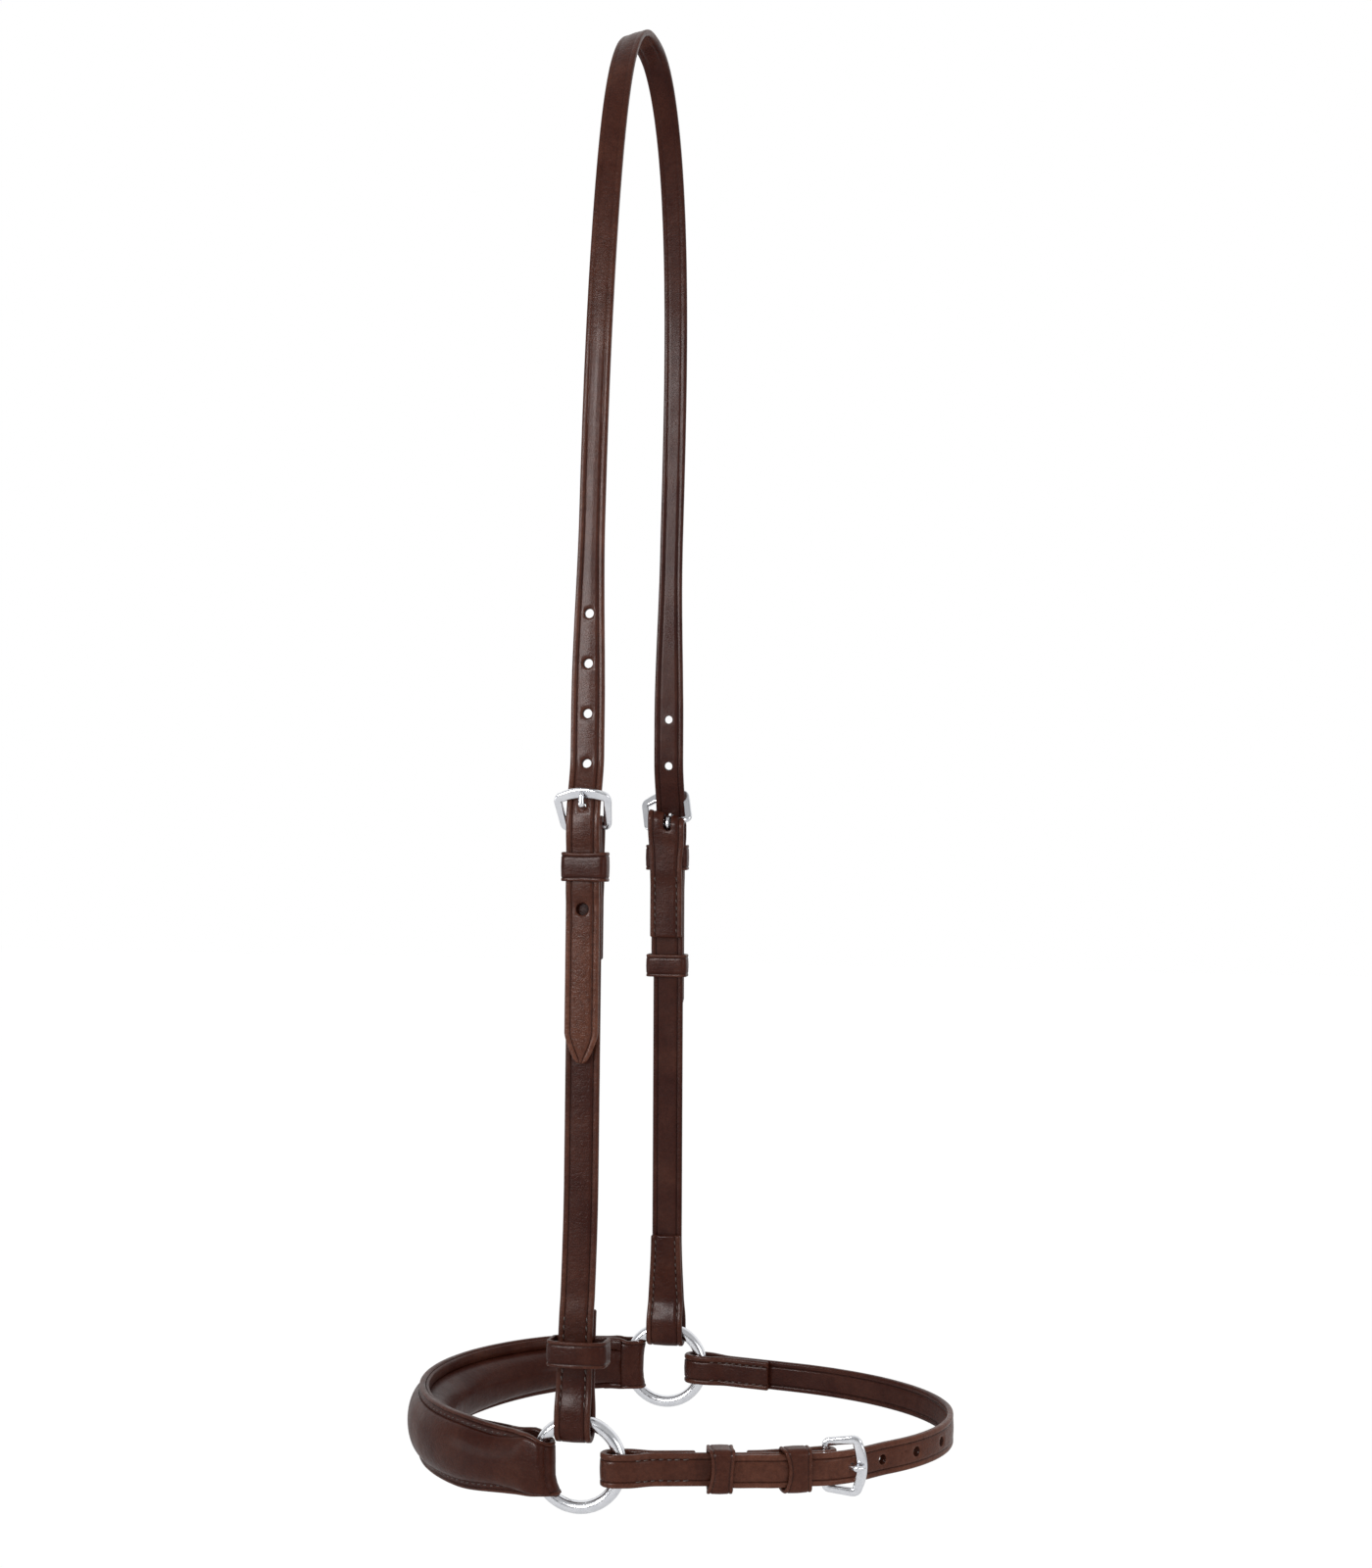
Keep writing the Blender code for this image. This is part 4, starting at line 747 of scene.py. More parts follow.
def sweep_strap(
    skin, ribbon, half_width, ripple, seed, holes=(), crease_in=CREASE_IN,
    front=CREASE_DEPTH, back=CREASE_DEPTH, shift=None, fade=None,
):
    """Add a whole strap to the skin. half_width(place) gives its reach to each side."""
    marks = strap_marks(ribbon.length, holes)
    rows = []
    for mark in marks:
        short = EDGE_RADIUS - min(mark, ribbon.length - mark)
        inset = 0.0
        if short > 0.0:
            inset = EDGE_RADIUS - math.sqrt(max(EDGE_RADIUS * EDGE_RADIUS - short * short, 0.0))
        place = ribbon.place(mark)
        low, high = half_width(place)
        strength = fade(place) if fade is not None else 1.0
        row = []
        for sideways, rise, band, groove in section(
            low - inset, high - inset, SKIN - inset, crease_in, front * strength, back * strength,
        ):
            spot = Vector((mark * RIPPLE_ALONG, sideways * RIPPLE_ACROSS, seed))
            point = ribbon.spot(mark, sideways, rise + ripple * noise.noise(spot))
            if shift is not None:
                point = point + shift(place, sideways)
            row.append(skin.add(point, band * strength, groove * strength))
        rows.append(row)
    open_parts = [punch(skin, ribbon, rows, marks, hole, shift) for hole in holes]
    width = 2 * COLUMNS
    for i in range(len(rows) - 1):
        for j in range(width):
            front_j = j if j < COLUMNS else width - 2 - j
            if j not in (COLUMNS - 1, width - 1) and any(
                a <= i < b and left <= front_j < right for a, b, left, right in open_parts
            ):
                continue
            other = (j + 1) % width
            skin.faces.append((rows[i][j], rows[i][other], rows[i + 1][other], rows[i + 1][j]))
    skin.faces.append(tuple(rows[0]))
    skin.faces.append(tuple(reversed(rows[-1])))


def add_stitch(skin, spot, along, normal, length):
    """One stitch of thread that dips into the leather at both ends."""
    turned = Matrix.Rotation(STITCH_SLANT, 3, normal) @ along
    aside = normal.cross(turned)
    previous = None
    for share, lift, thick in STITCH_RINGS:
        centre = spot + turned * (length * share) + normal * (THREAD_RADIUS * lift)
        reach = THREAD_RADIUS * thick
        ring = []
        for step in range(STITCH_SIDES):
            angle = 2 * math.pi * step / STITCH_SIDES
            across, up = reach * math.cos(angle), reach * math.sin(angle)
            ring.append(skin.add(centre + aside * across + normal * up))
        if previous is None:
            skin.faces.append(tuple(reversed(ring)))
        else:
            skin.join(previous, ring)
        previous = ring
    skin.faces.append(tuple(previous))


def stitch_row(skin, ribbon, start, end, sideways, shift=None):
    """A row of stitches on the front between two lengths of a strap."""
    count = max(1, round(abs(end - start) / STITCH_PITCH))
    uneven = random.Random(count)
    rise = SKIN - STITCH_SUNK
    for index in range(count):
        share = (index + 0.5 + uneven.uniform(-STITCH_SHIFT, STITCH_SHIFT)) / count
        length = start + (end - start) * share
        aside = sideways(ribbon.place(length)) + uneven.uniform(-STITCH_ASIDE, STITCH_ASIDE)
        ahead = ribbon.spot(length + TANGENT_REACH, aside, rise)
        along = (ahead - ribbon.spot(length - TANGENT_REACH, aside, rise)).normalized()
        spot = ribbon.spot(length, aside, rise)
        if shift is not None:
            spot = spot + shift(ribbon.place(length), aside)
        scale = uneven.uniform(*STITCH_SCALES)
        add_stitch(skin, spot, along, ribbon.normal(length), STITCH_LENGTH * scale)


def rounded_loop(width, low, high, corner, bow):
    """A closed loop of (x, z) points round a rounded rectangle, its top bowed out."""
    half = width / 2
    corners = (
        (half - corner, high - corner), (-half + corner, high - corner),
        (-half + corner, low + corner), (half - corner, low + corner),
    )
    points = []
    for turn, (x, z) in enumerate(corners):
        for step in range(LOOP_CORNER_STEPS + 1):
            angle = math.pi / 2 * (turn + step / LOOP_CORNER_STEPS)
            points.append((x + corner * math.cos(angle), z + corner * math.sin(angle)))
        following = corners[(turn + 1) % 4]
        angle = math.pi / 2 * (turn + 1)
        end = following[0] + corner * math.cos(angle), following[1] + corner * math.sin(angle)
        start = points[-1]
        gap = end[0] - start[0], end[1] - start[1]
        count = max(1, round(math.hypot(*gap) / LOOP_SPACING))
        for step in range(1, count):
            share = step / count
            points.append((start[0] + gap[0] * share, start[1] + gap[1] * share))
    middle = (low + high) / 2
    return [
        (x, z + bow * (1 - (x / half) ** 2) * smooth((z - middle) / (high - middle)))
        for x, z in points
    ]


def band_piece(
    skin, matrix, width, low, high, length, thickness, bow=0.0, curl=(0.0, 0.0), skew=0.0,
    stretch=0.0,
):
    """A leather keeper. Its opening goes from low to high outward and is width across.

    curl pulls the middle of the outer face's two edges in, skew slants it and stretch widens it
    on its plus side.
    """
    grow = thickness / 2
    loop = rounded_loop(width + thickness, low - grow, high + grow, KEEPER_CORNER + grow, bow)
    loop = [(x + stretch * smooth(x / (width / 2)), z) for x, z in loop]
    half = width / 2 + thickness
    count = len(loop)
    rows = []
    for index, (x, z) in enumerate(loop):
        before, after = loop[index - 1], loop[(index + 1) % count]
        outward = Vector((after[1] - before[1], 0.0, before[0] - after[0])).normalized()
        outer = smooth((z - (low + high) / 2) / ((high - low) / 2))
        hollow = outer * max(0.0, 1.0 - (x / half) ** 2)
        slant = outer * skew * x
        row = []
        for sideways, rise, band, groove in section(
            length / 2 - curl[0] * hollow, length / 2 - curl[1] * hollow, thickness / 2,
            KEEPER_CREASE_IN, KEEPER_CREASE_DEPTH, 0.0, KEEPER_DOME, KEEPER_EDGE_RADIUS,
        ):
            local = Vector((x, sideways + slant, z)) + outward * rise
            row.append(skin.add(matrix @ local, band, groove))
        rows.append(row)
    for index in range(count):
        skin.join(rows[index], rows[(index + 1) % count])


def rail_piece(skin, matrix, points, closed, sides=24, power=3.4, flat=None):
    """A metal bar through (x, y, z, half_wide, half_thick) points, flattened in one plane."""
    centres = [Vector(point[:3]) for point in points]
    count = len(points)
    rows = []
    for index, point in enumerate(points):
        if closed:
            along = centres[(index + 1) % count] - centres[index - 1]
        else:
            along = centres[min(index + 1, count - 1)] - centres[max(index - 1, 0)]
        along.normalize()
        if flat is None:
            side = Vector((1.0, 0.0, 0.0))
            face = side.cross(along).normalized()
        else:
            face = (flat - along * flat.dot(along)).normalized()
            side = along.cross(face).normalized()
        row = []
        for step in range(sides):
            angle = 2 * math.pi * step / sides
            c, s = math.cos(angle), math.sin(angle)
            wide = math.copysign(abs(c) ** (2 / power), c) * point[3]
            thick = math.copysign(abs(s) ** (2 / power), s) * point[4]
            row.append(skin.add(matrix @ (centres[index] + side * wide + face * thick)))
        rows.append(row)
    for index in range(count if closed else count - 1):
        skin.join(rows[index], rows[(index + 1) % count])
    if not closed:
        skin.faces.append(tuple(reversed(rows[0])))
        skin.faces.append(tuple(rows[-1]))


def front_bar_rise(path, matrix, rise, heel):
    """How far out the front bar's middle lies, so that it rests on the billet."""
    clear = SKIN + FIT_GAP + FRAME_BAR_R
    local = matrix.inverted()
    highest = 0.0
    for step in range(2 * BAR_REST_STEPS + 1):
        place = heel + BUCKLE_LENGTH * step / BAR_REST_STEPS
        point = local @ path.locate(place, rise(place), 0.0)
        nearest = min(max(point.y, BUCKLE_LENGTH - BUCKLE_BOW), BUCKLE_LENGTH)
        aside = point.y - nearest
        if abs(aside) < clear:
            highest = max(highest, point.z + math.sqrt(clear * clear - aside * aside))
    return highest


def frame_points(width, front_rise, narrower, back):
    """The buckle's bars as one closed line, heel bar first."""
    half_front = width / 2 + 2 * FRAME_BAR_R - SIDE_BAR_HALF
    half_heel = half_front - narrower / 2
    edge = BUCKLE_LENGTH - BUCKLE_BOW
    bar_edge = BUCKLE_LENGTH + FRAME_BAR_R - FRONT_BAR_HALF - back - BUCKLE_BOW
    wider = FRONT_BAR_HALF - SIDE_BAR_HALF
    heel, corner, steps = FRAME_HEEL_CORNER, BUCKLE_CORNER_RADIUS, BAR_STEPS
    points = []

    def add(x, y, wide, thick):
        points.append((x, y, front_rise * min(1.0, y / edge), wide, thick))

    for step in range(-steps, steps + 1):
        add((half_heel - heel) * step / steps, 0.0, HEEL_BAR_R, HEEL_BAR_R)
    for side in (1.0, -1.0):
        bend = []
        for step in range(1, steps + 1):
            angle = math.pi / 2 * (step / steps - 1.0)
            mix = smooth(2 * step / steps)
            bend.append((
                half_heel - heel + heel * math.cos(angle), heel + heel * math.sin(angle),
                HEEL_BAR_R + (SIDE_BAR_HALF - HEEL_BAR_R) * mix,
                HEEL_BAR_R + (FRAME_HALF_THICK - HEEL_BAR_R) * mix,
            ))
        start, end = bend[-1], (half_front, bar_edge - corner)
        for step in range(1, SIDE_BAR_STEPS):
            share = step / SIDE_BAR_STEPS
            bend.append((
                start[0] + (end[0] - start[0]) * share, start[1] + (end[1] - start[1]) * share,
                SIDE_BAR_HALF, FRAME_HALF_THICK,
            ))
        for step in range(steps + 1):
            angle = math.pi / 2 * step / steps
            bend.append((
                half_front - corner + corner * math.cos(angle),
                bar_edge - corner + corner * math.sin(angle),
                SIDE_BAR_HALF + wider * smooth(step / steps) * 0.5, FRAME_HALF_THICK,
            ))
        if side < 0:
            bend.reverse()
        for x, y, wide, thick in bend:
            add(side * x, y, wide, thick)
        if side > 0:
            for step in range(steps - 1, -steps, -1):
                share = step / steps
                bow = BUCKLE_BOW * (1.0 - share * share)
                wide = SIDE_BAR_HALF + wider * (1.0 - 0.5 * share * share)
                add((half_front - corner) * share, bar_edge + bow, wide, FRAME_HALF_THICK)
    return points


def prong_points(front_rise, hole, back):
    """The prong's line: round the heel bar, up through the hole and over the front bar."""
    top = front_rise + FRAME_BAR_R + FIT_GAP + PRONG_R - PRONG_TOP_DROP
    rise_start, rise_end = hole - PRONG_RISE_BEFORE, hole + PRONG_RISE_AFTER
    eye_wide, eye_thick = PRONG_EYE_HALVES
    line = []
    for step in range(PRONG_EYE_STEPS + 1):
        angle = math.pi / 2 + PRONG_EYE_TURN * (1.0 - step / PRONG_EYE_STEPS)
        across, up = PRONG_EYE_R * math.cos(angle), PRONG_EYE_R * math.sin(angle)
        line.append((across, up, eye_wide, eye_thick))
    for step in range(1, PRONG_START_STEPS):
        along = rise_start * step / PRONG_START_STEPS
        wide = eye_wide + PRONG_WIDER_PER_STEP * step
        line.append((along, PRONG_EYE_R, wide, PRONG_HALF_THICK))
    for step in range(PRONG_RISE_STEPS + 1):
        share = step / PRONG_RISE_STEPS
        along = rise_start + (rise_end - rise_start) * share
        up = PRONG_EYE_R + (top - PRONG_EYE_R) * smooth(share)
        line.append((along, up, PRONG_RISE_HALF_WIDE, PRONG_HALF_THICK))
    tip = BUCKLE_LENGTH + PRONG_PAST_BAR - back
    for step in range(1, PRONG_TIP_STEPS + 1):
        share = step / PRONG_TIP_STEPS
        along = rise_end + (tip - rise_end) * share
        ending = max(0.0, (share - PRONG_TIP_ROUND_FROM) / PRONG_TIP_ROUND_OVER)
        round_off = math.sqrt(max(0.0, 1.0 - ending ** 2))
        drop = FIT_GAP * smooth((share - 0.5) * 2)
        wide = PRONG_TOP_HALF_WIDE * (1 - PRONG_TIP_NARROWER * share) * round_off
        line.append((along, top - drop, wide, PRONG_HALF_THICK * round_off))
    return [(0.0, y, z, wide, thick) for y, z, wide, thick in line]


def new_material(name):
    material = bpy.data.materials.new(name)
    material.use_nodes = True
    tree = material.node_tree
    return material, tree, tree.nodes["Principled BSDF"]


class Nodes:
    """Short names for the nodes that the materials and the world are made of."""

    def __init__(self, tree, coordinates="Object"):
        self.tree = tree
        self.spot = tree.nodes.new("ShaderNodeTexCoord").outputs[coordinates]

    def link(self, value, socket):
        if hasattr(value, "is_output"):
            self.tree.links.new(value, socket)
        else:
            socket.default_value = value

    def attribute(self, name):
        node = self.tree.nodes.new("ShaderNodeAttribute")
        node.attribute_name = name
        return node.outputs["Fac"]

    def scaled(self, x, y, z):
        node = self.tree.nodes.new("ShaderNodeMapping")
        node.inputs["Scale"].default_value = (x, y, z)
        self.tree.links.new(self.spot, node.inputs["Vector"])
        return node.outputs["Vector"]

    def noise(self, scale, detail=3.0, rough=0.55, distortion=0.0, vector=None):
        node = self.tree.nodes.new("ShaderNodeTexNoise")
        node.inputs["Scale"].default_value = scale
        node.inputs["Detail"].default_value = detail
        node.inputs["Roughness"].default_value = rough
        node.inputs["Distortion"].default_value = distortion
        self.link(vector or self.spot, node.inputs["Vector"])
        return node.outputs["Fac"]

    def cells(self, scale, feature="F1", vector=None):
        node = self.tree.nodes.new("ShaderNodeTexVoronoi")
        node.feature = feature
        node.inputs["Scale"].default_value = scale
        self.link(vector or self.spot, node.inputs["Vector"])
        return node.outputs["Distance"]

    def math(self, operation, first, second=0.0, clamp=False):
        node = self.tree.nodes.new("ShaderNodeMath")
        node.operation = operation
        node.use_clamp = clamp
        self.link(first, node.inputs[0])
        self.link(second, node.inputs[1])
        return node.outputs[0]

    def spread(self, value, low, high, to_low=0.0, to_high=1.0, kind="LINEAR"):
        node = self.tree.nodes.new("ShaderNodeMapRange")
        node.interpolation_type = kind
        self.link(value, node.inputs["Value"])
        keys = ("From Min", "From Max", "To Min", "To Max")
        for key, number in zip(keys, (low, high, to_low, to_high)):
            node.inputs[key].default_value = number
        return node.outputs["Result"]

    def mix(self, share, first, second):
        node = self.tree.nodes.new("ShaderNodeMix")
        node.data_type = "RGBA"
        self.link(share, node.inputs["Factor"])
        for value, key in ((first, "A"), (second, "B")):
            socket = [s for s in node.inputs if s.name == key and s.type == "RGBA"][0]
            self.link(value, socket)
        return [s for s in node.outputs if s.type == "RGBA"][0]

    def bump(self, height, strength, distance, normal=None):
        node = self.tree.nodes.new("ShaderNodeBump")
        node.inputs["Strength"].default_value = strength
        node.inputs["Distance"].default_value = distance
        self.link(height, node.inputs["Height"])
        if normal is not None:
            self.link(normal, node.inputs["Normal"])
        return node.outputs["Normal"]

# Looks. A pair of roughnesses is for the shiniest and the dullest spots.
DARK_LEATHER = (0.037, 0.0070, 0.0036, 1.0)
LIGHT_LEATHER = (0.150, 0.056, 0.034, 1.0)
STRAP_ROUGHNESS = (0.30, 0.46)
DARK_LINING = (0.031, 0.0060, 0.0034, 1.0)
LIGHT_LINING = (0.098, 0.034, 0.020, 1.0)
LINING_ROUGHNESS = (0.36, 0.50)
LINING_GRAIN = 0.9
LINING_WRINKLE = 1.5
HIGHLIGHT_PALER = 0.30
CLOUD_PALER = 0.24
PAINTED_LIGHT_PALER = 0.55
MOTTLE_DARKER = 0.45
GROOVE_PAINTED_SHADE = 0.70
FLESH_ROUGHER = 0.26
PAINTED_LIGHT_SMOOTHER = 0.10
LEATHER_SPECULAR = 0.07
LEATHER_COAT = 0.10
LEATHER_COAT_ROUGHNESS = 0.19
PALE_STEEL = (0.80, 0.81, 0.84, 1.0)
GREY_STEEL = (0.70, 0.71, 0.75, 1.0)
STEEL_ROUGHNESS = (0.12, 0.24)
DARK_THREAD = (0.020, 0.008, 0.006, 1.0)
LIGHT_THREAD = (0.070, 0.031, 0.021, 1.0)
THREAD_ROUGHNESS = (0.42, 0.62)

# How much painted light makes the straps' parts paler and smoother, from 0 to 1, over ranges of z
# or y
NEAR_BILLET_PAINTED_LIGHT_RANGE = (-0.345, -0.325)
NEAR_STRAP_PAINTED_LIGHT = 0.35
CROWN_PAINTED_LIGHT_RANGE = (-0.12, 0.0)
CROWN_PAINTED_LIGHT = 0.6
CHIN_STRAP_PAINTED_LIGHT = 0.5
CHIN_KEEPER_PAINTED_LIGHT = 0.45
CHIN_BILLET_PAINTED_LIGHT = 0.75
CHIN_BILLET_PAINTED_LIGHT_RANGE = (-0.005, 0.02)
# Painted highlight on the panel's crest, the lining's flanges and the lining pad's crest
PANEL_HIGHLIGHT = 0.25
LINING_HIGHLIGHT = 0.8
LINING_PAD_HIGHLIGHT = 0.25


def darker(colour, share):
    return tuple(part * share for part in colour[:3]) + (1.0,)


def leather_material(name, dark, light, roughness, grain=1.0, wrinkle=1.0):
    """Waxed leather: painted highlight as paler edge bands, painted shade in the creases, painted
    light on lit parts, random paler clouds, pores, fine wrinkles and uneven gloss.
    """
    material, tree, shader = new_material(name)
    n = Nodes(tree)
    band = n.attribute("band")
    painted_light = n.attribute("painted_light")
    cloud = n.noise(55.0, 4.0, 0.6, 0.4)
    # Painted highlight: the band (rounded edges, crease lips, hole rims, the panel's crest and the
    # lining's flanges and pad) is painted paler, in patches set by the cloud
    painted_highlight = n.math("MULTIPLY", band, n.spread(cloud, 0.3, 0.7, 0.45, 1.0), clamp=True)
    paler = n.math("MULTIPLY", painted_highlight, HIGHLIGHT_PALER)
    paler = n.math("ADD", paler, n.spread(cloud, 0.35, 0.70, 0.0, CLOUD_PALER))
    # Painted light: the parts marked as lit are painted paler
    paler = n.math("ADD", paler, n.math("MULTIPLY", painted_light, PAINTED_LIGHT_PALER), clamp=True)
    mottle = n.spread(n.noise(520.0, 4.0, 0.7), 0.40, 0.72, 0.0, MOTTLE_DARKER)
    colour = n.mix(mottle, n.mix(paler, dark, light), darker(dark, 0.50))
    # Painted shade in the creases and the hole walls
    crease_shade = n.math("MULTIPLY", n.attribute("groove"), GROOVE_PAINTED_SHADE)
    colour = n.mix(crease_shade, colour, darker(dark, 0.35))
    tree.links.new(colour, shader.inputs["Base Color"])
    rough = n.spread(n.noise(180.0, 3.0, 0.6), 0.3, 0.7, *roughness)
    rough = n.math("ADD", rough, n.spread(band, -1.0, 0.0, FLESH_ROUGHER, 0.0))
    rough = n.math("SUBTRACT", rough, n.math("MULTIPLY", painted_light, PAINTED_LIGHT_SMOOTHER))
    tree.links.new(rough, shader.inputs["Roughness"])
    hide = n.spread(n.cells(620.0, "DISTANCE_TO_EDGE"), 0.0, 0.12)
    lines = n.noise(1.0, 3.0, 0.6, 0.8, vector=n.scaled(260.0, 260.0, 900.0))
    normal = None
    for height, strength, distance in (
        (n.noise(2600.0, 3.0, 0.6), 0.20 * grain, 0.00010),
        (n.cells(1500.0, "SMOOTH_F1"), 0.30 * grain, 0.00012),
        (hide, 0.22 * grain, 0.00012),
        (lines, 0.40 * wrinkle, 0.00030),
        (n.noise(330.0, 3.0, 0.6), 0.30 * wrinkle, 0.00040),
    ):
        normal = n.bump(height, strength, distance, normal)
    tree.links.new(normal, shader.inputs["Normal"])
    shader.inputs["Specular IOR Level"].default_value = LEATHER_SPECULAR
    shader.inputs["Coat Weight"].default_value = LEATHER_COAT
    shader.inputs["Coat Roughness"].default_value = LEATHER_COAT_ROUGHNESS
    return material


def steel_material():
    material, tree, shader = new_material("polished_steel_look")
    n = Nodes(tree)
    colour = n.mix(n.spread(n.noise(240.0, 3.0, 0.6), 0.35, 0.7), PALE_STEEL, GREY_STEEL)
    tree.links.new(colour, shader.inputs["Base Color"])
    rough = n.spread(n.noise(700.0, 4.0, 0.65), 0.3, 0.7, *STEEL_ROUGHNESS)
    tree.links.new(rough, shader.inputs["Roughness"])
    scratches = n.noise(1.0, 3.0, 0.6, vector=n.scaled(600.0, 5200.0, 900.0))
    normal = n.bump(scratches, 0.05, 0.00005)
    tree.links.new(n.bump(n.noise(320.0, 2.0), 0.10, 0.00012, normal), shader.inputs["Normal"])
    shader.inputs["Metallic"].default_value = 1.0
    return material


def thread_material():
    material, tree, shader = new_material("waxed_thread")
    n = Nodes(tree)
    twist = n.noise(1.0, 2.0, 0.5, vector=n.scaled(2600.0, 2600.0, 5200.0))
    colour = n.mix(n.spread(twist, 0.35, 0.65), DARK_THREAD, LIGHT_THREAD)
    tree.links.new(colour, shader.inputs["Base Color"])
    tree.links.new(n.spread(twist, 0.3, 0.7, *THREAD_ROUGHNESS), shader.inputs["Roughness"])
    tree.links.new(n.bump(twist, 0.35, 0.00012), shader.inputs["Normal"])
    return material


strap_leather = leather_material(
    "bridle_leather_look", DARK_LEATHER, LIGHT_LEATHER, STRAP_ROUGHNESS,
)
soft_leather = leather_material(
    "lining_leather_look", DARK_LINING, LIGHT_LINING, LINING_ROUGHNESS, LINING_GRAIN,
    LINING_WRINKLE,
)
steel = steel_material()
thread = thread_material()


def leather_piece(skin, node, body, painted_light=None):
    skin.piece(node + "_leather", strap_leather, body, "bridle_leather", more=[node], painted_light=painted_light)


def steel_piece(skin, node, body, sharp=50.0):
    skin.piece(node + "_steel", steel, body, "polished_steel", sharp, [node])


def side_name(side):
    return "far" if side > 0 else "near"


def under(offset):
    """The rise of a keeper's opening under a layer whose middle lies at offset."""
    return offset - SKIN - FIT_GAP


def over(offset):
    """The rise of a keeper's opening over a layer whose middle lies at offset."""
    return offset + SKIN + FIT_GAP


def make_keeper(node, body, matrix, width, low, high, length, thickness, painted_light=None, **shape):
    skin = Skin()
    band_piece(skin, matrix, width, low, high, length, thickness, **shape)
    leather_piece(skin, node, body, painted_light)


def layer_spans(ribbon):
    """For a strap folded at its ring: its own length at a place on each of its layers."""
    last = len(ribbon.places) - 1
    turn = min(range(last + 1), key=lambda k: ribbon.places[k])
    top = max(range(last + 1), key=lambda k: ribbon.places[k])

    def reader(low, high):
        def read(place):
            best = min(range(low, high + 1), key=lambda k: abs(ribbon.places[k] - place))
            return ribbon.marks[best]
        return read

    return {"inner": reader(0, turn), "outer": reader(turn, top), "back": reader(top, last)}


def prong_slot(spans, heel, spare):
    """The slot for the prong in the fold round the buckle's bar."""
    reach = PRONG_EYE_R + PRONG_R + spare
    outside, inside = spans["outer"](heel - reach), spans["back"](heel - reach)
    half = PRONG_SLOT_WIDTH / 2
    return Hole((outside + inside) / 2, (inside - outside) / 2 - half, half)


def seam(half_width, sign):
    """Where a row of stitches lies: in the crease at one edge. sign 1 is the upper reach."""
    def sideways(place):
        low, high = half_width(place)
        return high - CREASE_IN if sign > 0 else -low + CREASE_IN
    return sideways


def ring_seams(turn_back):
    return [(layer, SEAM_RING_START, turn_back - SEAM_FROM_END) for layer in ("outer", "inner")]


def buckle_seams(turn_back, keeper_place):
    start, end = turn_back + SEAM_FROM_END, keeper_place - SEAM_FROM_KEEPER
    return [(layer, start, end) for layer in ("outer", "back")]


def sew(name, body, ribbon, spans, half_width, seams, shift=None):
    """Rows of stitches in both edge creases, over the stretches (layer, start, end) in seams."""
    threads = Skin()
    for sign in (1, -1):
        for layer, start, end in seams:
            low, high = spans[layer](start), spans[layer](end)
            stitch_row(threads, ribbon, low, high, seam(half_width, sign), shift)
    threads.piece(name + "_stitching", thread, body)


def cheek_foot(side):
    """The foot's width, how far forward it hangs, and how low its fold round the ring lies."""
    wide = FAR_FOOT_WIDTH if side > 0 else CHEEK_FOOT_WIDTH
    forward = 0.0 if side > 0 else NEAR_FOOT_FORWARD
    return wide, forward, fold_stop(wide / 2 + forward, RING_FOLD_REST)


def cheek_half_width(side):
    foot_width = cheek_foot(side)[0]

    def half_width(place):
        half = ease(RING_MEAN_R, CHEEK_RING_TURN_BACK, foot_width, CHEEK_WIDTH, place) / 2
        if side < 0:
            return half, half
        below = CHEEK_BUCKLE_HEIGHT - place
        half += ease(*FAR_FLARE_BELOW_BAR, 0.0, FAR_FOLD_FLARE, below)
        return half, half + ease(*FAR_WIDER_BELOW_BAR, 0.0, FAR_CHEEK_WIDER, below)

    return half_width


def cheek_shift(side):
    """The near foot leans forward; the far fold round the buckle is askew with its frame."""
    forward = cheek_foot(side)[1]

    def shift(place, sideways):
        lean = ease(RING_MEAN_R, NEAR_FOOT_LEAN_END, 1.0, 0.0, place) * forward
        askew = 0.0
        if side > 0:
            above = place - CHEEK_BUCKLE_HEIGHT + FAR_ASKEW_BELOW_BAR
            askew = sideways * math.tan(FAR_FRAME_ASKEW) * smooth(above / FAR_ASKEW_FADE)
        return Vector((-lean, 0.0, askew))

    return shift


def cheek_line(side):
    """The cheekpiece's layers from the ring's turn-back round both folds, as in the CAD."""
    lower = LOOP_OFFSET if side < 0 else LAYER_OFFSET
    loop_end = CHEEK_RING_TURN_BACK
    line = [(loop_end, -lower)]
    line += ring_fold(cheek_foot(side)[2], -lower, lower, STRAP_JOIN)
    line += [(loop_end - LEATHER, lower)]
    line += glide((loop_end - LEATHER, lower), (loop_end + KEEPER_RAMP, LAYER_OFFSET))
    return line + buckle_fold(
        CHEEK_BUCKLE_HEIGHT, CHEEK_KEEPER_HEIGHT, CHEEK_KEEPER_LENGTH, KEEPER_OFFSET,
        CHEEK_BUCKLE_TURN_BACK,
    )


def make_cheekpiece(side, path):
    name = side_name(side) + "_cheekpiece"
    ribbon = Ribbon(path, cheek_line(side))
    spans = layer_spans(ribbon)
    slot = prong_slot(spans, CHEEK_BUCKLE_HEIGHT, PRONG_SLOT_SPARE if side < 0 else 0.0)
    half_width, shift = cheek_half_width(side), cheek_shift(side)
    skin = Skin()
    sweep_strap(
        skin, ribbon, half_width, STRAP_RIPPLE, seed=3.0 + side, holes=[slot], shift=shift,
    )
    leather_piece(skin, name, "head_straps")
    seams = ring_seams(CHEEK_RING_TURN_BACK)
    seams += buckle_seams(CHEEK_BUCKLE_TURN_BACK, CHEEK_KEEPER_HEIGHT)
    sew(name, "head_straps", ribbon, spans, half_width, seams, shift)


def head_billet_rise():
    return billet_rise(
        CHEEK_BUCKLE_HEIGHT, CHEEK_KEEPER_HEIGHT, CHEEK_KEEPER_LENGTH, KEEPER_OFFSET, 0.0,
    )


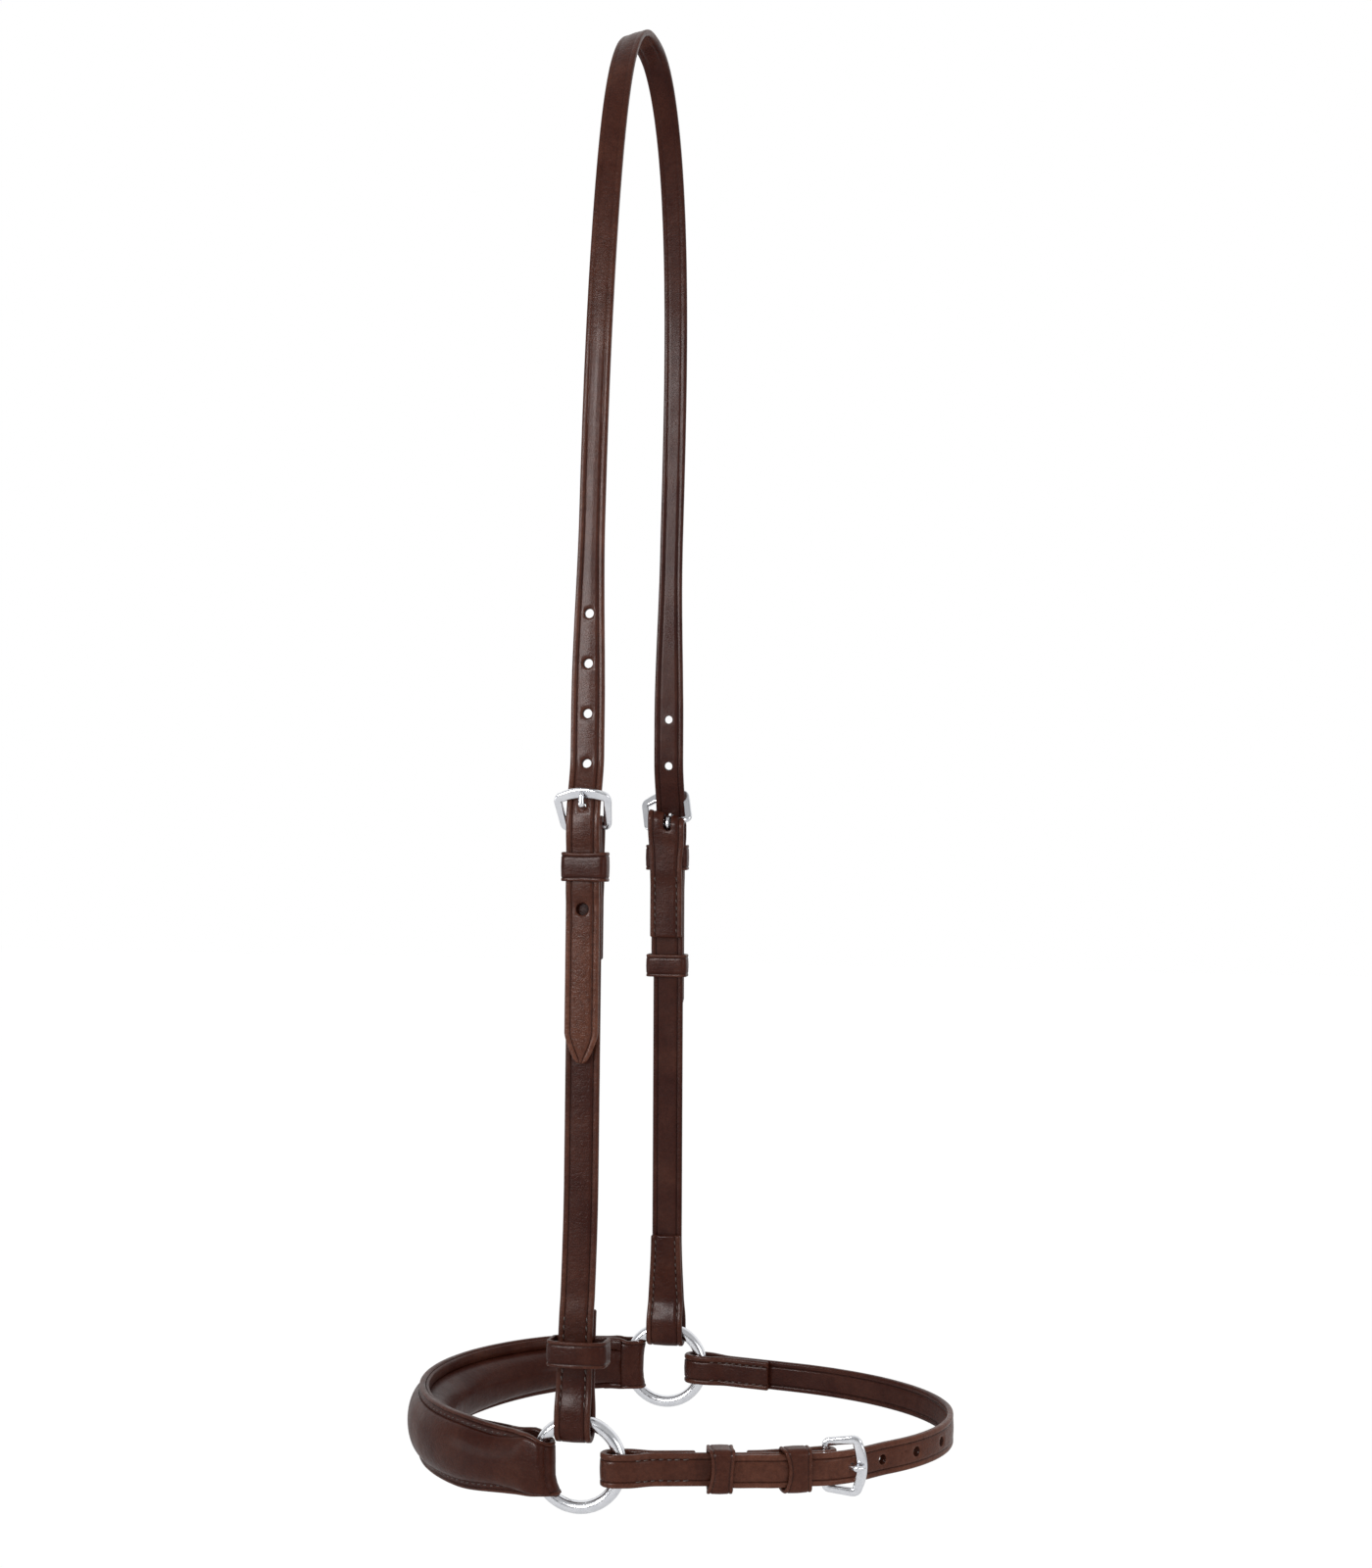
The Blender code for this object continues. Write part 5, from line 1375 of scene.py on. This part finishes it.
def tip_width(share, wide):
    """The billet's width near its point: share 0 at the very tip, 1 where it is full."""
    tip = BILLET_TIP_WIDTH * 0.5
    return tip + (wide - tip) * max(0.0, share) ** BILLET_TIP_POWER


# Painted light: the near side is painted paler, most on the billet and less at the crown; the far
# side gets none
def headpiece_painted_light(point):
    if point.y > 0:
        return 0.0
    lit = ease(*NEAR_BILLET_PAINTED_LIGHT_RANGE, 1.0, NEAR_STRAP_PAINTED_LIGHT, point.z)
    return lit * ease(*CROWN_PAINTED_LIGHT_RANGE, 1.0, CROWN_PAINTED_LIGHT, point.z)


def make_headpiece():
    path = head_path(-1)
    rise = head_billet_rise()
    tip = BILLET_TIP_HEIGHT

    def folded(place):
        return min(place, path.length - place)

    count = round((path.length - 2 * tip) / RUN_STEP)
    places = [tip + (path.length - 2 * tip) * k / count for k in range(count + 1)]
    ribbon = Ribbon(path, [(place, rise(folded(place))) for place in places])

    def half_width(place):
        height = folded(place)
        wide = ease(BILLET_WIDTH_TOP, CROWN_WIDTH_TOP, BILLET_WIDTH, CROWN_WIDTH, height)
        if height < tip + BILLET_TIP_LENGTH:
            wide = tip_width((height - tip) / BILLET_TIP_LENGTH, wide)
        return wide / 2, wide / 2

    prong_place = CHEEK_BUCKLE_HEIGHT + HOLE_FROM_BAR
    holes = []
    for side, pitch, above, prong_hole in (
        (-1, NEAR_HOLE_PITCH, NEAR_HOLES_ABOVE, NEAR_PRONG_HOLE),
        (1, FAR_HOLE_PITCH, FAR_HOLES_ABOVE, FAR_PRONG_HOLE),
    ):
        slots = []
        for step in range(1, HOLES_BELOW_PRONG + 1):
            slots.append((prong_place - BELOW_HOLE_PITCH * step, 0.0, WIDE_HOLE_RADIUS))
        for step in range(1, above + 1):
            slots.append((prong_place + pitch * step, 0.0, HOLE_DIAMETER / 2))
        middle = CHEEK_BUCKLE_HEIGHT + prong_hole
        slots.append((middle, VISIBLE_PRONG_HOLE_CORE, VISIBLE_PRONG_HOLE_RADIUS))
        for place, core, radius in slots:
            length = ribbon.length_at(place if side < 0 else path.length - place)
            holes.append(Hole(length, core, radius))

    def crease_fade(place):
        return ease(*CREASE_FADE_RANGE, 1.0, CROWN_CREASES, folded(place))

    def crown_tilt(place, sideways):
        start, end = (path.length / 2 - reach for reach in CROWN_TILT_FROM_TOP)
        fade = ease(start, end, 0.0, CROWN_TILT, folded(place))
        return Vector((0.0, 0.0, (sideways - CROWN_WIDTH / 2) * fade))

    skin = Skin()
    sweep_strap(
        skin, ribbon, half_width, HEAD_RIPPLE, seed=1.0, holes=holes, shift=crown_tilt,
        fade=crease_fade,
    )
    leather_piece(skin, "headpiece", "head_straps", headpiece_painted_light)


def make_buckle(prefix, path, place, tilt, width, rise, hole, askew=0.0, back=0.0):
    heel = path.matrix(place, tilt)
    front = front_bar_rise(path, heel, rise, place)
    slope = Vector((0.0, BUCKLE_LENGTH - BUCKLE_BOW, front)).normalized()
    flat = Vector((1.0, 0.0, 0.0)).cross(slope)
    turned = heel @ Matrix.Rotation(askew, 4, "Z")
    narrower = 0.0 if askew < 0.0 else FRAME_HEEL_NARROWER
    skin = Skin()
    rail_piece(skin, turned, frame_points(width, front, narrower, back), True, flat=flat)
    steel_piece(skin, prefix + "_buckle_frame", prefix + "_frame")
    skin = Skin()
    line = prong_points(front, hole, PRONG_BACK_SHARE * back)
    rail_piece(skin, heel, line, False, sides=PRONG_SIDES, power=2.0)
    steel_piece(skin, prefix + "_buckle_prong", prefix + "_prong", sharp=70.0)


def make_cheek_fittings(side, path):
    prefix = side_name(side) + "_cheek"
    rise = head_billet_rise()
    far = side > 0
    make_buckle(
        prefix, path, CHEEK_BUCKLE_HEIGHT, 0.0, CHEEK_BUCKLE_WIDTH, rise,
        FAR_PRONG_HOLE if far else NEAR_PRONG_HOLE, -FAR_FRAME_ASKEW if far else NEAR_FRAME_ASKEW,
    )
    width = CHEEK_WIDTH + 2 * KEEPER_SIDE_CLEARANCE
    make_keeper(
        prefix + "_fixed_keeper", "head_straps", path.matrix(CHEEK_KEEPER_HEIGHT), width,
        under(KEEPER_OFFSET), over(rise(CHEEK_KEEPER_HEIGHT)), CHEEK_KEEPER_LENGTH,
        KEEPER_THICKNESS, curl=CHEEK_KEEPER_CURL,
        stretch=FAR_KEEPER_STRETCH if far else NEAR_KEEPER_STRETCH,
    )
    if far:
        make_keeper(
            "far_cheek_runner_keeper", "far_cheek_runner", path.matrix(CHEEK_RUNNER_HEIGHT), width,
            under(LAYER_OFFSET), over(rise(CHEEK_RUNNER_HEIGHT)), CHEEK_RUNNER_LENGTH,
            RUNNER_THICKNESS, stretch=FAR_RUNNER_STRETCH,
        )
        return
    make_keeper(
        "near_bridle_cheek_loop", "head_straps", path.matrix(BRIDLE_LOOP_HEIGHT),
        BRIDLE_LOOP_INNER_WIDTH, under(LOOP_OFFSET), LOOP_OFFSET + SKIN + BRIDLE_LOOP_INNER_DEPTH,
        BRIDLE_LOOP_LENGTH, BRIDLE_LOOP_THICKNESS, bow=BRIDLE_LOOP_BOW, stretch=LOOP_STRETCH,
    )


def make_ring(side):
    skin = Skin()
    rows = []
    for step in range(RING_STEPS):
        around = 2 * math.pi * step / RING_STEPS
        row = []
        for turn in range(WIRE_STEPS):
            angle = 2 * math.pi * turn / WIRE_STEPS
            reach = RING_MEAN_R + RING_WIRE_R * math.cos(angle)
            aside = side * RING_HALF_SPAN + RING_WIRE_R * math.sin(angle)
            height = RING_Z + reach * math.sin(around)
            row.append(skin.add(Vector((reach * math.cos(around), aside, height))))
        rows.append(row)
    for index, row in enumerate(rows):
        skin.join(row, rows[(index + 1) % len(rows)])
    name = side_name(side) + "_ring"
    steel_piece(skin, name, name)


def chin_half_width(_place):
    return CHIN_STRAP_WIDTH / 2, CHIN_STRAP_WIDTH / 2


def chin_ring_fold(turn_back):
    stop = fold_stop(CHIN_STRAP_WIDTH / 2 + CHIN_DROP)
    return [(turn_back, -LAYER_OFFSET)] + ring_fold(stop, -LAYER_OFFSET, LAYER_OFFSET, STRAP_JOIN)


def make_chin_buckle_strap(path):
    line = chin_ring_fold(CHIN_RING_TURN_BACK) + buckle_fold(
        CHIN_BUCKLE_PLACE, CHIN_KEEPER_PLACE, CHIN_KEEPER_LENGTH, CHIN_KEEPER_OFFSET,
        CHIN_BUCKLE_TURN_BACK,
    )
    ribbon = Ribbon(path, line)
    spans = layer_spans(ribbon)
    slot = prong_slot(spans, CHIN_BUCKLE_PLACE, PRONG_SLOT_SPARE)
    skin = Skin()
    sweep_strap(skin, ribbon, chin_half_width, STRAP_RIPPLE, seed=5.0, holes=[slot])
    # Painted light: the buckle strap is painted evenly paler
    leather_piece(skin, "chin_buckle_strap", "chin_strap", lambda point: CHIN_STRAP_PAINTED_LIGHT)
    seams = ring_seams(CHIN_RING_TURN_BACK)
    seams += buckle_seams(CHIN_BUCKLE_TURN_BACK, CHIN_KEEPER_PLACE)
    sew("chin_buckle_strap", "chin_strap", ribbon, spans, chin_half_width, seams)


def make_chin_billet_strap(path, rise):
    tip_place = path.length - CHIN_BILLET_TIP
    line = chin_ring_fold(CHIN_FAR_TURN_BACK)
    count = round((tip_place - STRAP_JOIN) / RUN_STEP)
    for k in range(1, count + 1):
        place = STRAP_JOIN + (tip_place - STRAP_JOIN) * k / count
        line.append((place, rise(path.length - place)))
    ribbon = Ribbon(path, line)

    def half_width(place):
        wide = CHIN_STRAP_WIDTH
        if place > tip_place - CHIN_TIP_LENGTH:
            wide = tip_width((tip_place - place) / CHIN_TIP_LENGTH, wide)
        return wide / 2, wide / 2

    prong_place = CHIN_BUCKLE_PLACE + HOLE_FROM_BAR
    slots = []
    for step in range(1, CHIN_HOLE_COUNT + 1):
        place = prong_place + CHIN_HOLE_PITCH * step
        slots.append((place, 0.0, HOLE_DIAMETER / 2, CHIN_HOLE_BACK))
    middle = CHIN_BUCKLE_PLACE + CHIN_PRONG_HOLE
    slots.append((middle, VISIBLE_PRONG_HOLE_CORE, VISIBLE_PRONG_HOLE_RADIUS, 1.0))
    holes = [Hole(ribbon.length_at(path.length - place), *rest) for place, *rest in slots]
    skin = Skin()
    sweep_strap(skin, ribbon, half_width, STRAP_RIPPLE, seed=7.0, holes=holes)

    # Painted light: the billet is painted paler on its near side
    def painted_light(point):
        return ease(*CHIN_BILLET_PAINTED_LIGHT_RANGE, CHIN_BILLET_PAINTED_LIGHT, 0.0, point.y)

    leather_piece(skin, "chin_billet_strap", "chin_strap", painted_light)
    spans = layer_spans(ribbon)
    seams = ring_seams(CHIN_FAR_TURN_BACK)
    sew("chin_billet_strap", "chin_strap", ribbon, spans, chin_half_width, seams)


def make_chin_strap():
    near = chin_path(-1)
    rise = billet_rise(
        CHIN_BUCKLE_PLACE, CHIN_KEEPER_PLACE, CHIN_KEEPER_LENGTH, CHIN_KEEPER_OFFSET, LAYER_OFFSET,
    )
    make_chin_buckle_strap(near)
    make_chin_billet_strap(chin_path(1), rise)
    local = near.matrix(CHIN_BUCKLE_PLACE).inverted()
    ahead = local @ near.point(CHIN_BUCKLE_PLACE + BUCKLE_LENGTH)
    make_buckle(
        "chin", near, CHIN_BUCKLE_PLACE, math.atan2(ahead.z, ahead.y), CHIN_BUCKLE_WIDTH, rise,
        CHIN_PRONG_HOLE, back=CHIN_FRONT_BAR_BACK,
    )
    width = CHIN_STRAP_WIDTH + 2 * CHIN_KEEPER_SIDE_CLEARANCE
    for name, body, place, below, length, curl, skew in (
        ("chin_fixed_keeper", "chin_strap", CHIN_KEEPER_PLACE, CHIN_KEEPER_OFFSET,
         CHIN_KEEPER_LENGTH, CHIN_KEEPER_CURL, 0.0),
        ("chin_runner_keeper", "chin_runner", CHIN_RUNNER_PLACE, -LAYER_OFFSET,
         CHIN_RUNNER_VISIBLE_LENGTH, CHIN_RUNNER_CURL, CHIN_RUNNER_SKEW),
    ):
        # Painted light: the chin keepers are painted evenly paler
        make_keeper(
            name, body, near.matrix(place), width, under(below), over(rise(place)), length,
            CHIN_KEEPER_THICKNESS, lambda point: CHIN_KEEPER_PAINTED_LIGHT, curl=curl, skew=skew,
        )


def nose_end(path, place):
    """Which end of the nosepiece a place belongs to (0 near, 1 far), and how far in it lies."""
    return (0, place) if place < path.length / 2 else (1, path.length - place)


def nose_sides(path, place):
    end, inward = nose_end(path, place)
    low = ease(NOSE_SHOULDER, NOSE_FULL[end], NOSE_END_BOTTOM[end], NOSE_BOTTOM, inward)
    return low, ease(NOSE_SHOULDER, NOSE_FULL[0], NOSE_END_TOP, NOSE_TOP, inward)


def nose_edges(path, place):
    """How far the base strap reaches down and up, with its narrower folds at both ends."""
    low, high = nose_sides(path, place)
    end, inward = nose_end(path, place)
    if end == 0:
        low = ease(*NEAR_BODY_RANGE, NOSE_NEAR_FOLD_DEPTH, low, inward)
        low = ease(*NEAR_BOTTOM_RANGE, NOSE_FOLD_BOTTOM[0], low, inward)
        return low, ease(*NEAR_TOP_RANGE, NOSE_FOLD_TOP[0], high, inward)
    low = ease(NOSE_TONGUE_END, NOSE_SHOULDER, NOSE_FOLD_BOTTOM[1], low, inward)
    return low, ease(NOSE_TONGUE_END, NOSE_SHOULDER, NOSE_FOLD_TOP[1], high, inward)


def nose_shift(path, place, sideways):
    """The fold's corners are pulled towards the ring's middle by the wire inside it."""
    end, inward = nose_end(path, place)
    fade = ease(RING_OUTER_DIAMETER / 2, NOSE_TURN_BACK, 1.0, 0.0, inward)
    lower = (-sideways - BOTTOM_PULL_START) / BOTTOM_PULL_REACH
    pull = NOSE_FOLD_TOP_PULL[end] * min(MOST_PULL, max(0.0, sideways / TOP_PULL_REACH) ** 2)
    pull += NOSE_FOLD_BOTTOM_PULL[end] * min(MOST_PULL, max(0.0, lower) ** 2)
    return Vector((pull * fade, 0.0, 0.0))


def nose_layer_rise(path, place):
    inward = nose_end(path, place)[1]
    return ease(RING_OUTER_DIAMETER / 2, NOSE_JOIN, RING_FOLD_OFFSET, LAYER_OFFSET, inward)


def make_nose_base(path):
    halves = []
    for slack in NOSE_FOLD_SLACK:
        half = [(NOSE_TURN_BACK, -LAYER_OFFSET)]
        half += ring_fold(fold_stop(0.0) - slack, -LAYER_OFFSET, LAYER_OFFSET, NOSE_JOIN)
        halves.append(half + [(path.length / 2, LAYER_OFFSET)])
    line = halves[0] + [(path.length - place, rise) for place, rise in reversed(halves[1][:-1])]
    ribbon = Ribbon(path, line)
    skin = Skin()
    sweep_strap(
        skin, ribbon, lambda place: nose_edges(path, place), NOSE_RIPPLE, seed=11.0,
        crease_in=NOSE_CREASE_IN, front=NOSE_CREASE_DEPTH, back=0.0,
        shift=lambda place, sideways: nose_shift(path, place, sideways),
    )
    skin.piece(
        "nosepiece_base_leather", strap_leather, "nosepiece", "bridle_leather",
        more=["nosepiece_base_strap"],
    )
    threads = Skin()
    start = layer_spans(ribbon)["outer"](NOSE_SHOULDER + NOSE_SEAM_PAST_SHOULDER)
    end = ribbon.length - start
    for side, sign in ((1, 1), (0, -1)):
        stitch_row(
            threads, ribbon, start, end,
            lambda place: sign * (nose_edges(path, place)[side] - NOSE_SEAM_IN),
        )
    threads.piece("nosepiece_border_stitching", thread, "nosepiece")


def rounded_end(inward, start, reach, least):
    """The share of its depth that a cover has near its rounded end."""
    ending = min(1.0, (inward - start) / reach)
    return least + (1.0 - least) * math.sqrt(max(0.0, 1.0 - (1.0 - ending) ** 2))


def panel_section(path, place):
    """The raised panel from its lower edge over to its upper one, then back underneath."""
    end, inward = nose_end(path, place)
    low, high = nose_sides(path, place) if end else nose_edges(path, place)
    start = PANEL_START[end]
    turn = fold_stop(0.0) - NOSE_FOLD_SLACK[end] + RING_FOLD_OFFSET - SKIN - inward
    seat = nose_layer_rise(path, place) + SKIN
    if turn > 0.0:
        seat = math.sqrt((RING_FOLD_OFFSET + SKIN) ** 2 - turn * turn)
    seat += COVER_GAP
    depth = LAYER_OFFSET + SKIN + COVER_GAP + PANEL_RISE - seat
    if end:
        depth = min(depth, ease(start, PANEL_FULL_RISE, PANEL_END_RISE, PANEL_RISE, inward))
    depth *= rounded_end(inward, start, PANEL_ROUND[end], PANEL_END_SHARE)
    border = ease(*PANEL_BORDER_RANGE, PANEL_END_BORDER[end], PANEL_BORDER, inward)
    low, high = low - border, high - border
    middle, half = (high - low) / 2, (high + low) / 2
    points = []
    for step in range(PANEL_SEGMENTS + 1):
        angle = math.pi * step / PANEL_SEGMENTS
        arch = max(0.0, math.sin(angle))
        lift = PANEL_LIP * min(1.0, arch * PANEL_LIP_STEEPNESS)
        lift += (depth - PANEL_LIP) * arch ** PANEL_EDGE_POWER
        # The third value is how much painted highlight a point gets, most on the crest
        points.append((middle - half * math.cos(angle), seat + lift, arch))
    for step in range(1, PANEL_SEGMENTS):
        angle = math.pi * step / PANEL_SEGMENTS
        points.append((middle + half * math.cos(angle), seat, 0.0))
    return points


def lining_section(path, place):
    """The lining: a flat flange along each edge, a sewn groove, and a full pad between."""
    low, high = nose_sides(path, place)
    inward = nose_end(path, place)[1]
    over_turn_back = nose_layer_rise(path, place) + SKIN + COVER_GAP
    on_base = SKIN - LAYER_OFFSET + COVER_GAP
    seat = ease(LINING_RAMP_START, LINING_FULL, over_turn_back, on_base, inward)
    depth = ease(LINING_START, LINING_FULL, LINING_END_DEPTH, LINING_DEPTH, inward)
    depth += over_turn_back - seat
    depth *= rounded_end(inward, LINING_START, LINING_ROUND, LINING_END_SHARE)
    low, high = low - LINING_BORDER, high - LINING_BORDER
    flat, shoulder = seat + LINING_FLANGE, seat + LINING_SHOULDER_HEIGHT
    groove = seat + LINING_GROOVE_HEIGHT
    pad_low, pad_high = -low + LINING_BOTTOM_FLANGE, high - LINING_TOP_FLANGE
    # The third value is how much painted highlight a point gets: full on the flanges, some on the
    # pad's crest
    points = [
        (-low, seat, 1.0), (-low, shoulder, 1.0), (-low + LINING_SHOULDER_IN, flat, 1.0),
        (pad_low - LINING_GROOVE_WIDTH, flat, 1.0), (pad_low, groove, 0.0),
    ]
    middle, half = (pad_low + pad_high) / 2, (pad_high - pad_low) / 2
    for step in range(1, PANEL_SEGMENTS):
        angle = math.pi * step / PANEL_SEGMENTS
        arch = math.sin(angle)
        rise = groove + (depth - LINING_GROOVE_HEIGHT) * arch ** LINING_EDGE_POWER
        points.append((middle - half * math.cos(angle), rise, LINING_PAD_HIGHLIGHT * arch))
    points += [
        (pad_high, groove, 0.0), (pad_high + LINING_GROOVE_WIDTH, flat, 1.0),
        (high - LINING_SHOULDER_IN, flat, 1.0), (high, shoulder, 1.0), (high, seat, 1.0),
    ]
    for step in range(1, LINING_BACK_STEPS):
        points.append((high - (high + low) * step / LINING_BACK_STEPS, seat, 0.0))
    return points


def cover_piece(name, path, start, end, spacing, outline, side, material, slot, nodes, band):
    """A padded cover on the front (side 1) or the horse's side (side -1) of the nosepiece."""
    skin = Skin()
    count = round((end - start) / spacing)
    previous = None
    for k in range(count + 1):
        place = start + (end - start) * k / count
        row = []
        for sideways, rise, raised in outline(path, place):
            point = path.locate(place, side * rise, sideways)
            if side > 0:
                point = point + nose_shift(path, place, sideways)
            row.append(skin.add(point, band * raised))
        if previous is None:
            skin.faces.append(tuple(row))
        else:
            skin.join(previous, row)
        previous = row
    skin.faces.append(tuple(reversed(previous)))
    made = skin.piece(name, material, "nosepiece", slot, sharp=60.0, more=nodes)


def make_nosepiece():
    path = nose_path()
    make_nose_base(path)
    cover_piece(
        "nosepiece_raised_panel_leather", path, PANEL_START[0], path.length - PANEL_START[1],
        PANEL_SPACING, panel_section, 1, strap_leather, "bridle_leather",
        ["nosepiece_raised_panel", "nosepiece_panel_filler"], PANEL_HIGHLIGHT,
    )
    cover_piece(
        "nosepiece_lining_leather", path, LINING_START, path.length - LINING_START,
        LINING_SPACING, lining_section, -1, soft_leather, "lining_leather",
        ["nosepiece_lining", "nosepiece_foam_pad"], LINING_HIGHLIGHT,
    )


make_headpiece()
for cheek_side in (-1, 1):
    cheek_path = head_path(cheek_side)
    make_cheekpiece(cheek_side, cheek_path)
    make_cheek_fittings(cheek_side, cheek_path)
    make_ring(cheek_side)
make_nosepiece()
make_chin_strap()

# Camera at the photograph's angle
CAMERA_PLACE = (0.1984, -0.9193, -0.2908)
CAMERA_YAW = math.radians(10.89)
CAMERA_PITCH = math.radians(0.38)
CAMERA_ROLL = math.radians(0.47)
CAMERA_LENS = 56.16
SENSOR_WIDTH = 36.0


def make_camera():
    data = bpy.data.cameras.new("camera")
    data.lens = CAMERA_LENS
    data.sensor_width = SENSOR_WIDTH
    data.clip_start = 0.01
    data.clip_end = 50.0
    data.clip_end = 50.0
    camera = link_object("camera", data)
    level = math.cos(CAMERA_PITCH)
    across, along = math.cos(CAMERA_YAW), math.sin(CAMERA_YAW)
    ahead = Vector((-along * level, across * level, math.sin(CAMERA_PITCH)))
    right = Vector((across, along, 0.0))
    up = right.cross(ahead)
    turned_right = right * math.cos(CAMERA_ROLL) + up * math.sin(CAMERA_ROLL)
    turned_up = up * math.cos(CAMERA_ROLL) - right * math.sin(CAMERA_ROLL)
    turn = Matrix((turned_right, turned_up, -ahead)).transposed()
    camera.matrix_world = Matrix.Translation(CAMERA_PLACE) @ turn.to_4x4()
    bpy.context.scene.camera = camera


WORLD_LEVEL = 0.60
ROOM_HORIZON = 0.20
ROOM_ABOVE = 0.50
ROOM_HEIGHT_RANGE = (0.04, 0.45)
BACKDROP_RANGE = (-0.15, 0.60)
FLOOR_LEVEL = -0.760
FLOOR_REACH = 6.0
FLOOR_COLOUR = (0.86, 0.86, 0.86, 1.0)
FLOOR_GLOW = 1.03
FLOOR_GLOW_SHARE = 0.95

# Lamps as (name, place, target, size, power, lights matt surfaces, shows in gloss)
LAMPS = (
    ("front_left_softbox", (-0.40, -1.40, 0.50), (0.0, 0.0, -0.20), (0.45, 0.45), 4.8, True, False),
    ("panel_softbox", (-0.605, -1.190, -0.095), (-0.03, -0.083, -0.52), (0.75, 0.24), 16.0,
     False, True),
    ("left_softbox", (-1.00, -0.40, -0.52), (-0.03, -0.06, -0.52), (0.70, 0.26), 1.3, True, True),
    ("headpiece_softbox", (-0.289, -1.295, 0.186), (0.0, -0.07, -0.142), (0.24, 0.20), 6.0,
     False, True),
    ("right_softbox", (1.15, -0.75, -0.20), (0.0, 0.0, -0.40), (0.90, 0.50), 3.4, True, True),
    ("top_softbox", (0.0, -0.1, 1.20), (0.0, 0.0, -0.2), (1.2, 1.0), 5.0, True, False),
)


def make_lamps():
    for name, place, target, size, power, diffuse, gloss in LAMPS:
        data = bpy.data.lights.new(name, "AREA")
        data.shape = "RECTANGLE"
        data.size, data.size_y = size
        data.energy = power
        lamp = link_object(name, data)
        lamp.location = place
        aim = Vector(place) - Vector(target)
        lamp.rotation_euler = aim.to_track_quat("Z", "Y").to_euler()
        lamp.visible_diffuse = diffuse
        lamp.visible_glossy = gloss


def make_world():
    """A white backdrop for the camera, and a darker room with a pale back wall for the rest."""
    world = bpy.data.worlds.new("studio")
    bpy.context.scene.world = world
    world.use_nodes = True
    tree = world.node_tree
    n = Nodes(tree, "Generated")
    ray = tree.nodes.new("ShaderNodeLightPath").outputs
    split = tree.nodes.new("ShaderNodeSeparateXYZ")
    tree.links.new(n.spot, split.inputs[0])
    height = n.math("ABSOLUTE", split.outputs["Z"])
    room = n.spread(height, *ROOM_HEIGHT_RANGE, ROOM_HORIZON, ROOM_ABOVE, kind="SMOOTHSTEP")
    backdrop = n.spread(split.outputs["Y"], *BACKDROP_RANGE, kind="SMOOTHSTEP")
    paler = n.math("MULTIPLY", backdrop, n.math("SUBTRACT", 1.0, room))
    shiny = n.math("MAXIMUM", ray["Is Glossy Ray"], ray["Is Transmission Ray"])
    change = n.math("SUBTRACT", n.math("ADD", room, paler), WORLD_LEVEL)
    level = n.math("ADD", WORLD_LEVEL, n.math("MULTIPLY", shiny, change))
    background = tree.nodes["Background"].inputs
    background["Color"].default_value = (1.0, 1.0, 1.0, 1.0)
    tree.links.new(n.math("MAXIMUM", level, ray["Is Camera Ray"]), background["Strength"])


def make_floor():
    mesh = bpy.data.meshes.new("floor")
    corners = [
        (x * FLOOR_REACH, y * FLOOR_REACH, FLOOR_LEVEL)
        for x, y in ((-1, -1), (1, -1), (1, 1), (-1, 1))
    ]
    mesh.from_pydata(corners, [], [(0, 1, 2, 3)])
    floor = link_object("floor", mesh)
    material, tree, shader = new_material("pale_floor")
    shader.inputs["Base Color"].default_value = FLOOR_COLOUR
    shader.inputs["Roughness"].default_value = 0.9
    shader.inputs["Specular IOR Level"].default_value = 0.1
    glow = tree.nodes.new("ShaderNodeEmission")
    glow.inputs["Strength"].default_value = FLOOR_GLOW
    ray = tree.nodes.new("ShaderNodeLightPath")
    share = Nodes(tree).math("MULTIPLY", ray.outputs["Is Camera Ray"], FLOOR_GLOW_SHARE)
    blend = tree.nodes.new("ShaderNodeMixShader")
    for value, socket in zip((share, shader.outputs[0], glow.outputs[0]), blend.inputs):
        tree.links.new(value, socket)
    tree.links.new(blend.outputs[0], tree.nodes["Material Output"].inputs["Surface"])
    mesh.materials.append(material)


make_camera()
make_world()
make_floor()
make_lamps()

bpy.context.scene.view_settings.view_transform = "Standard"
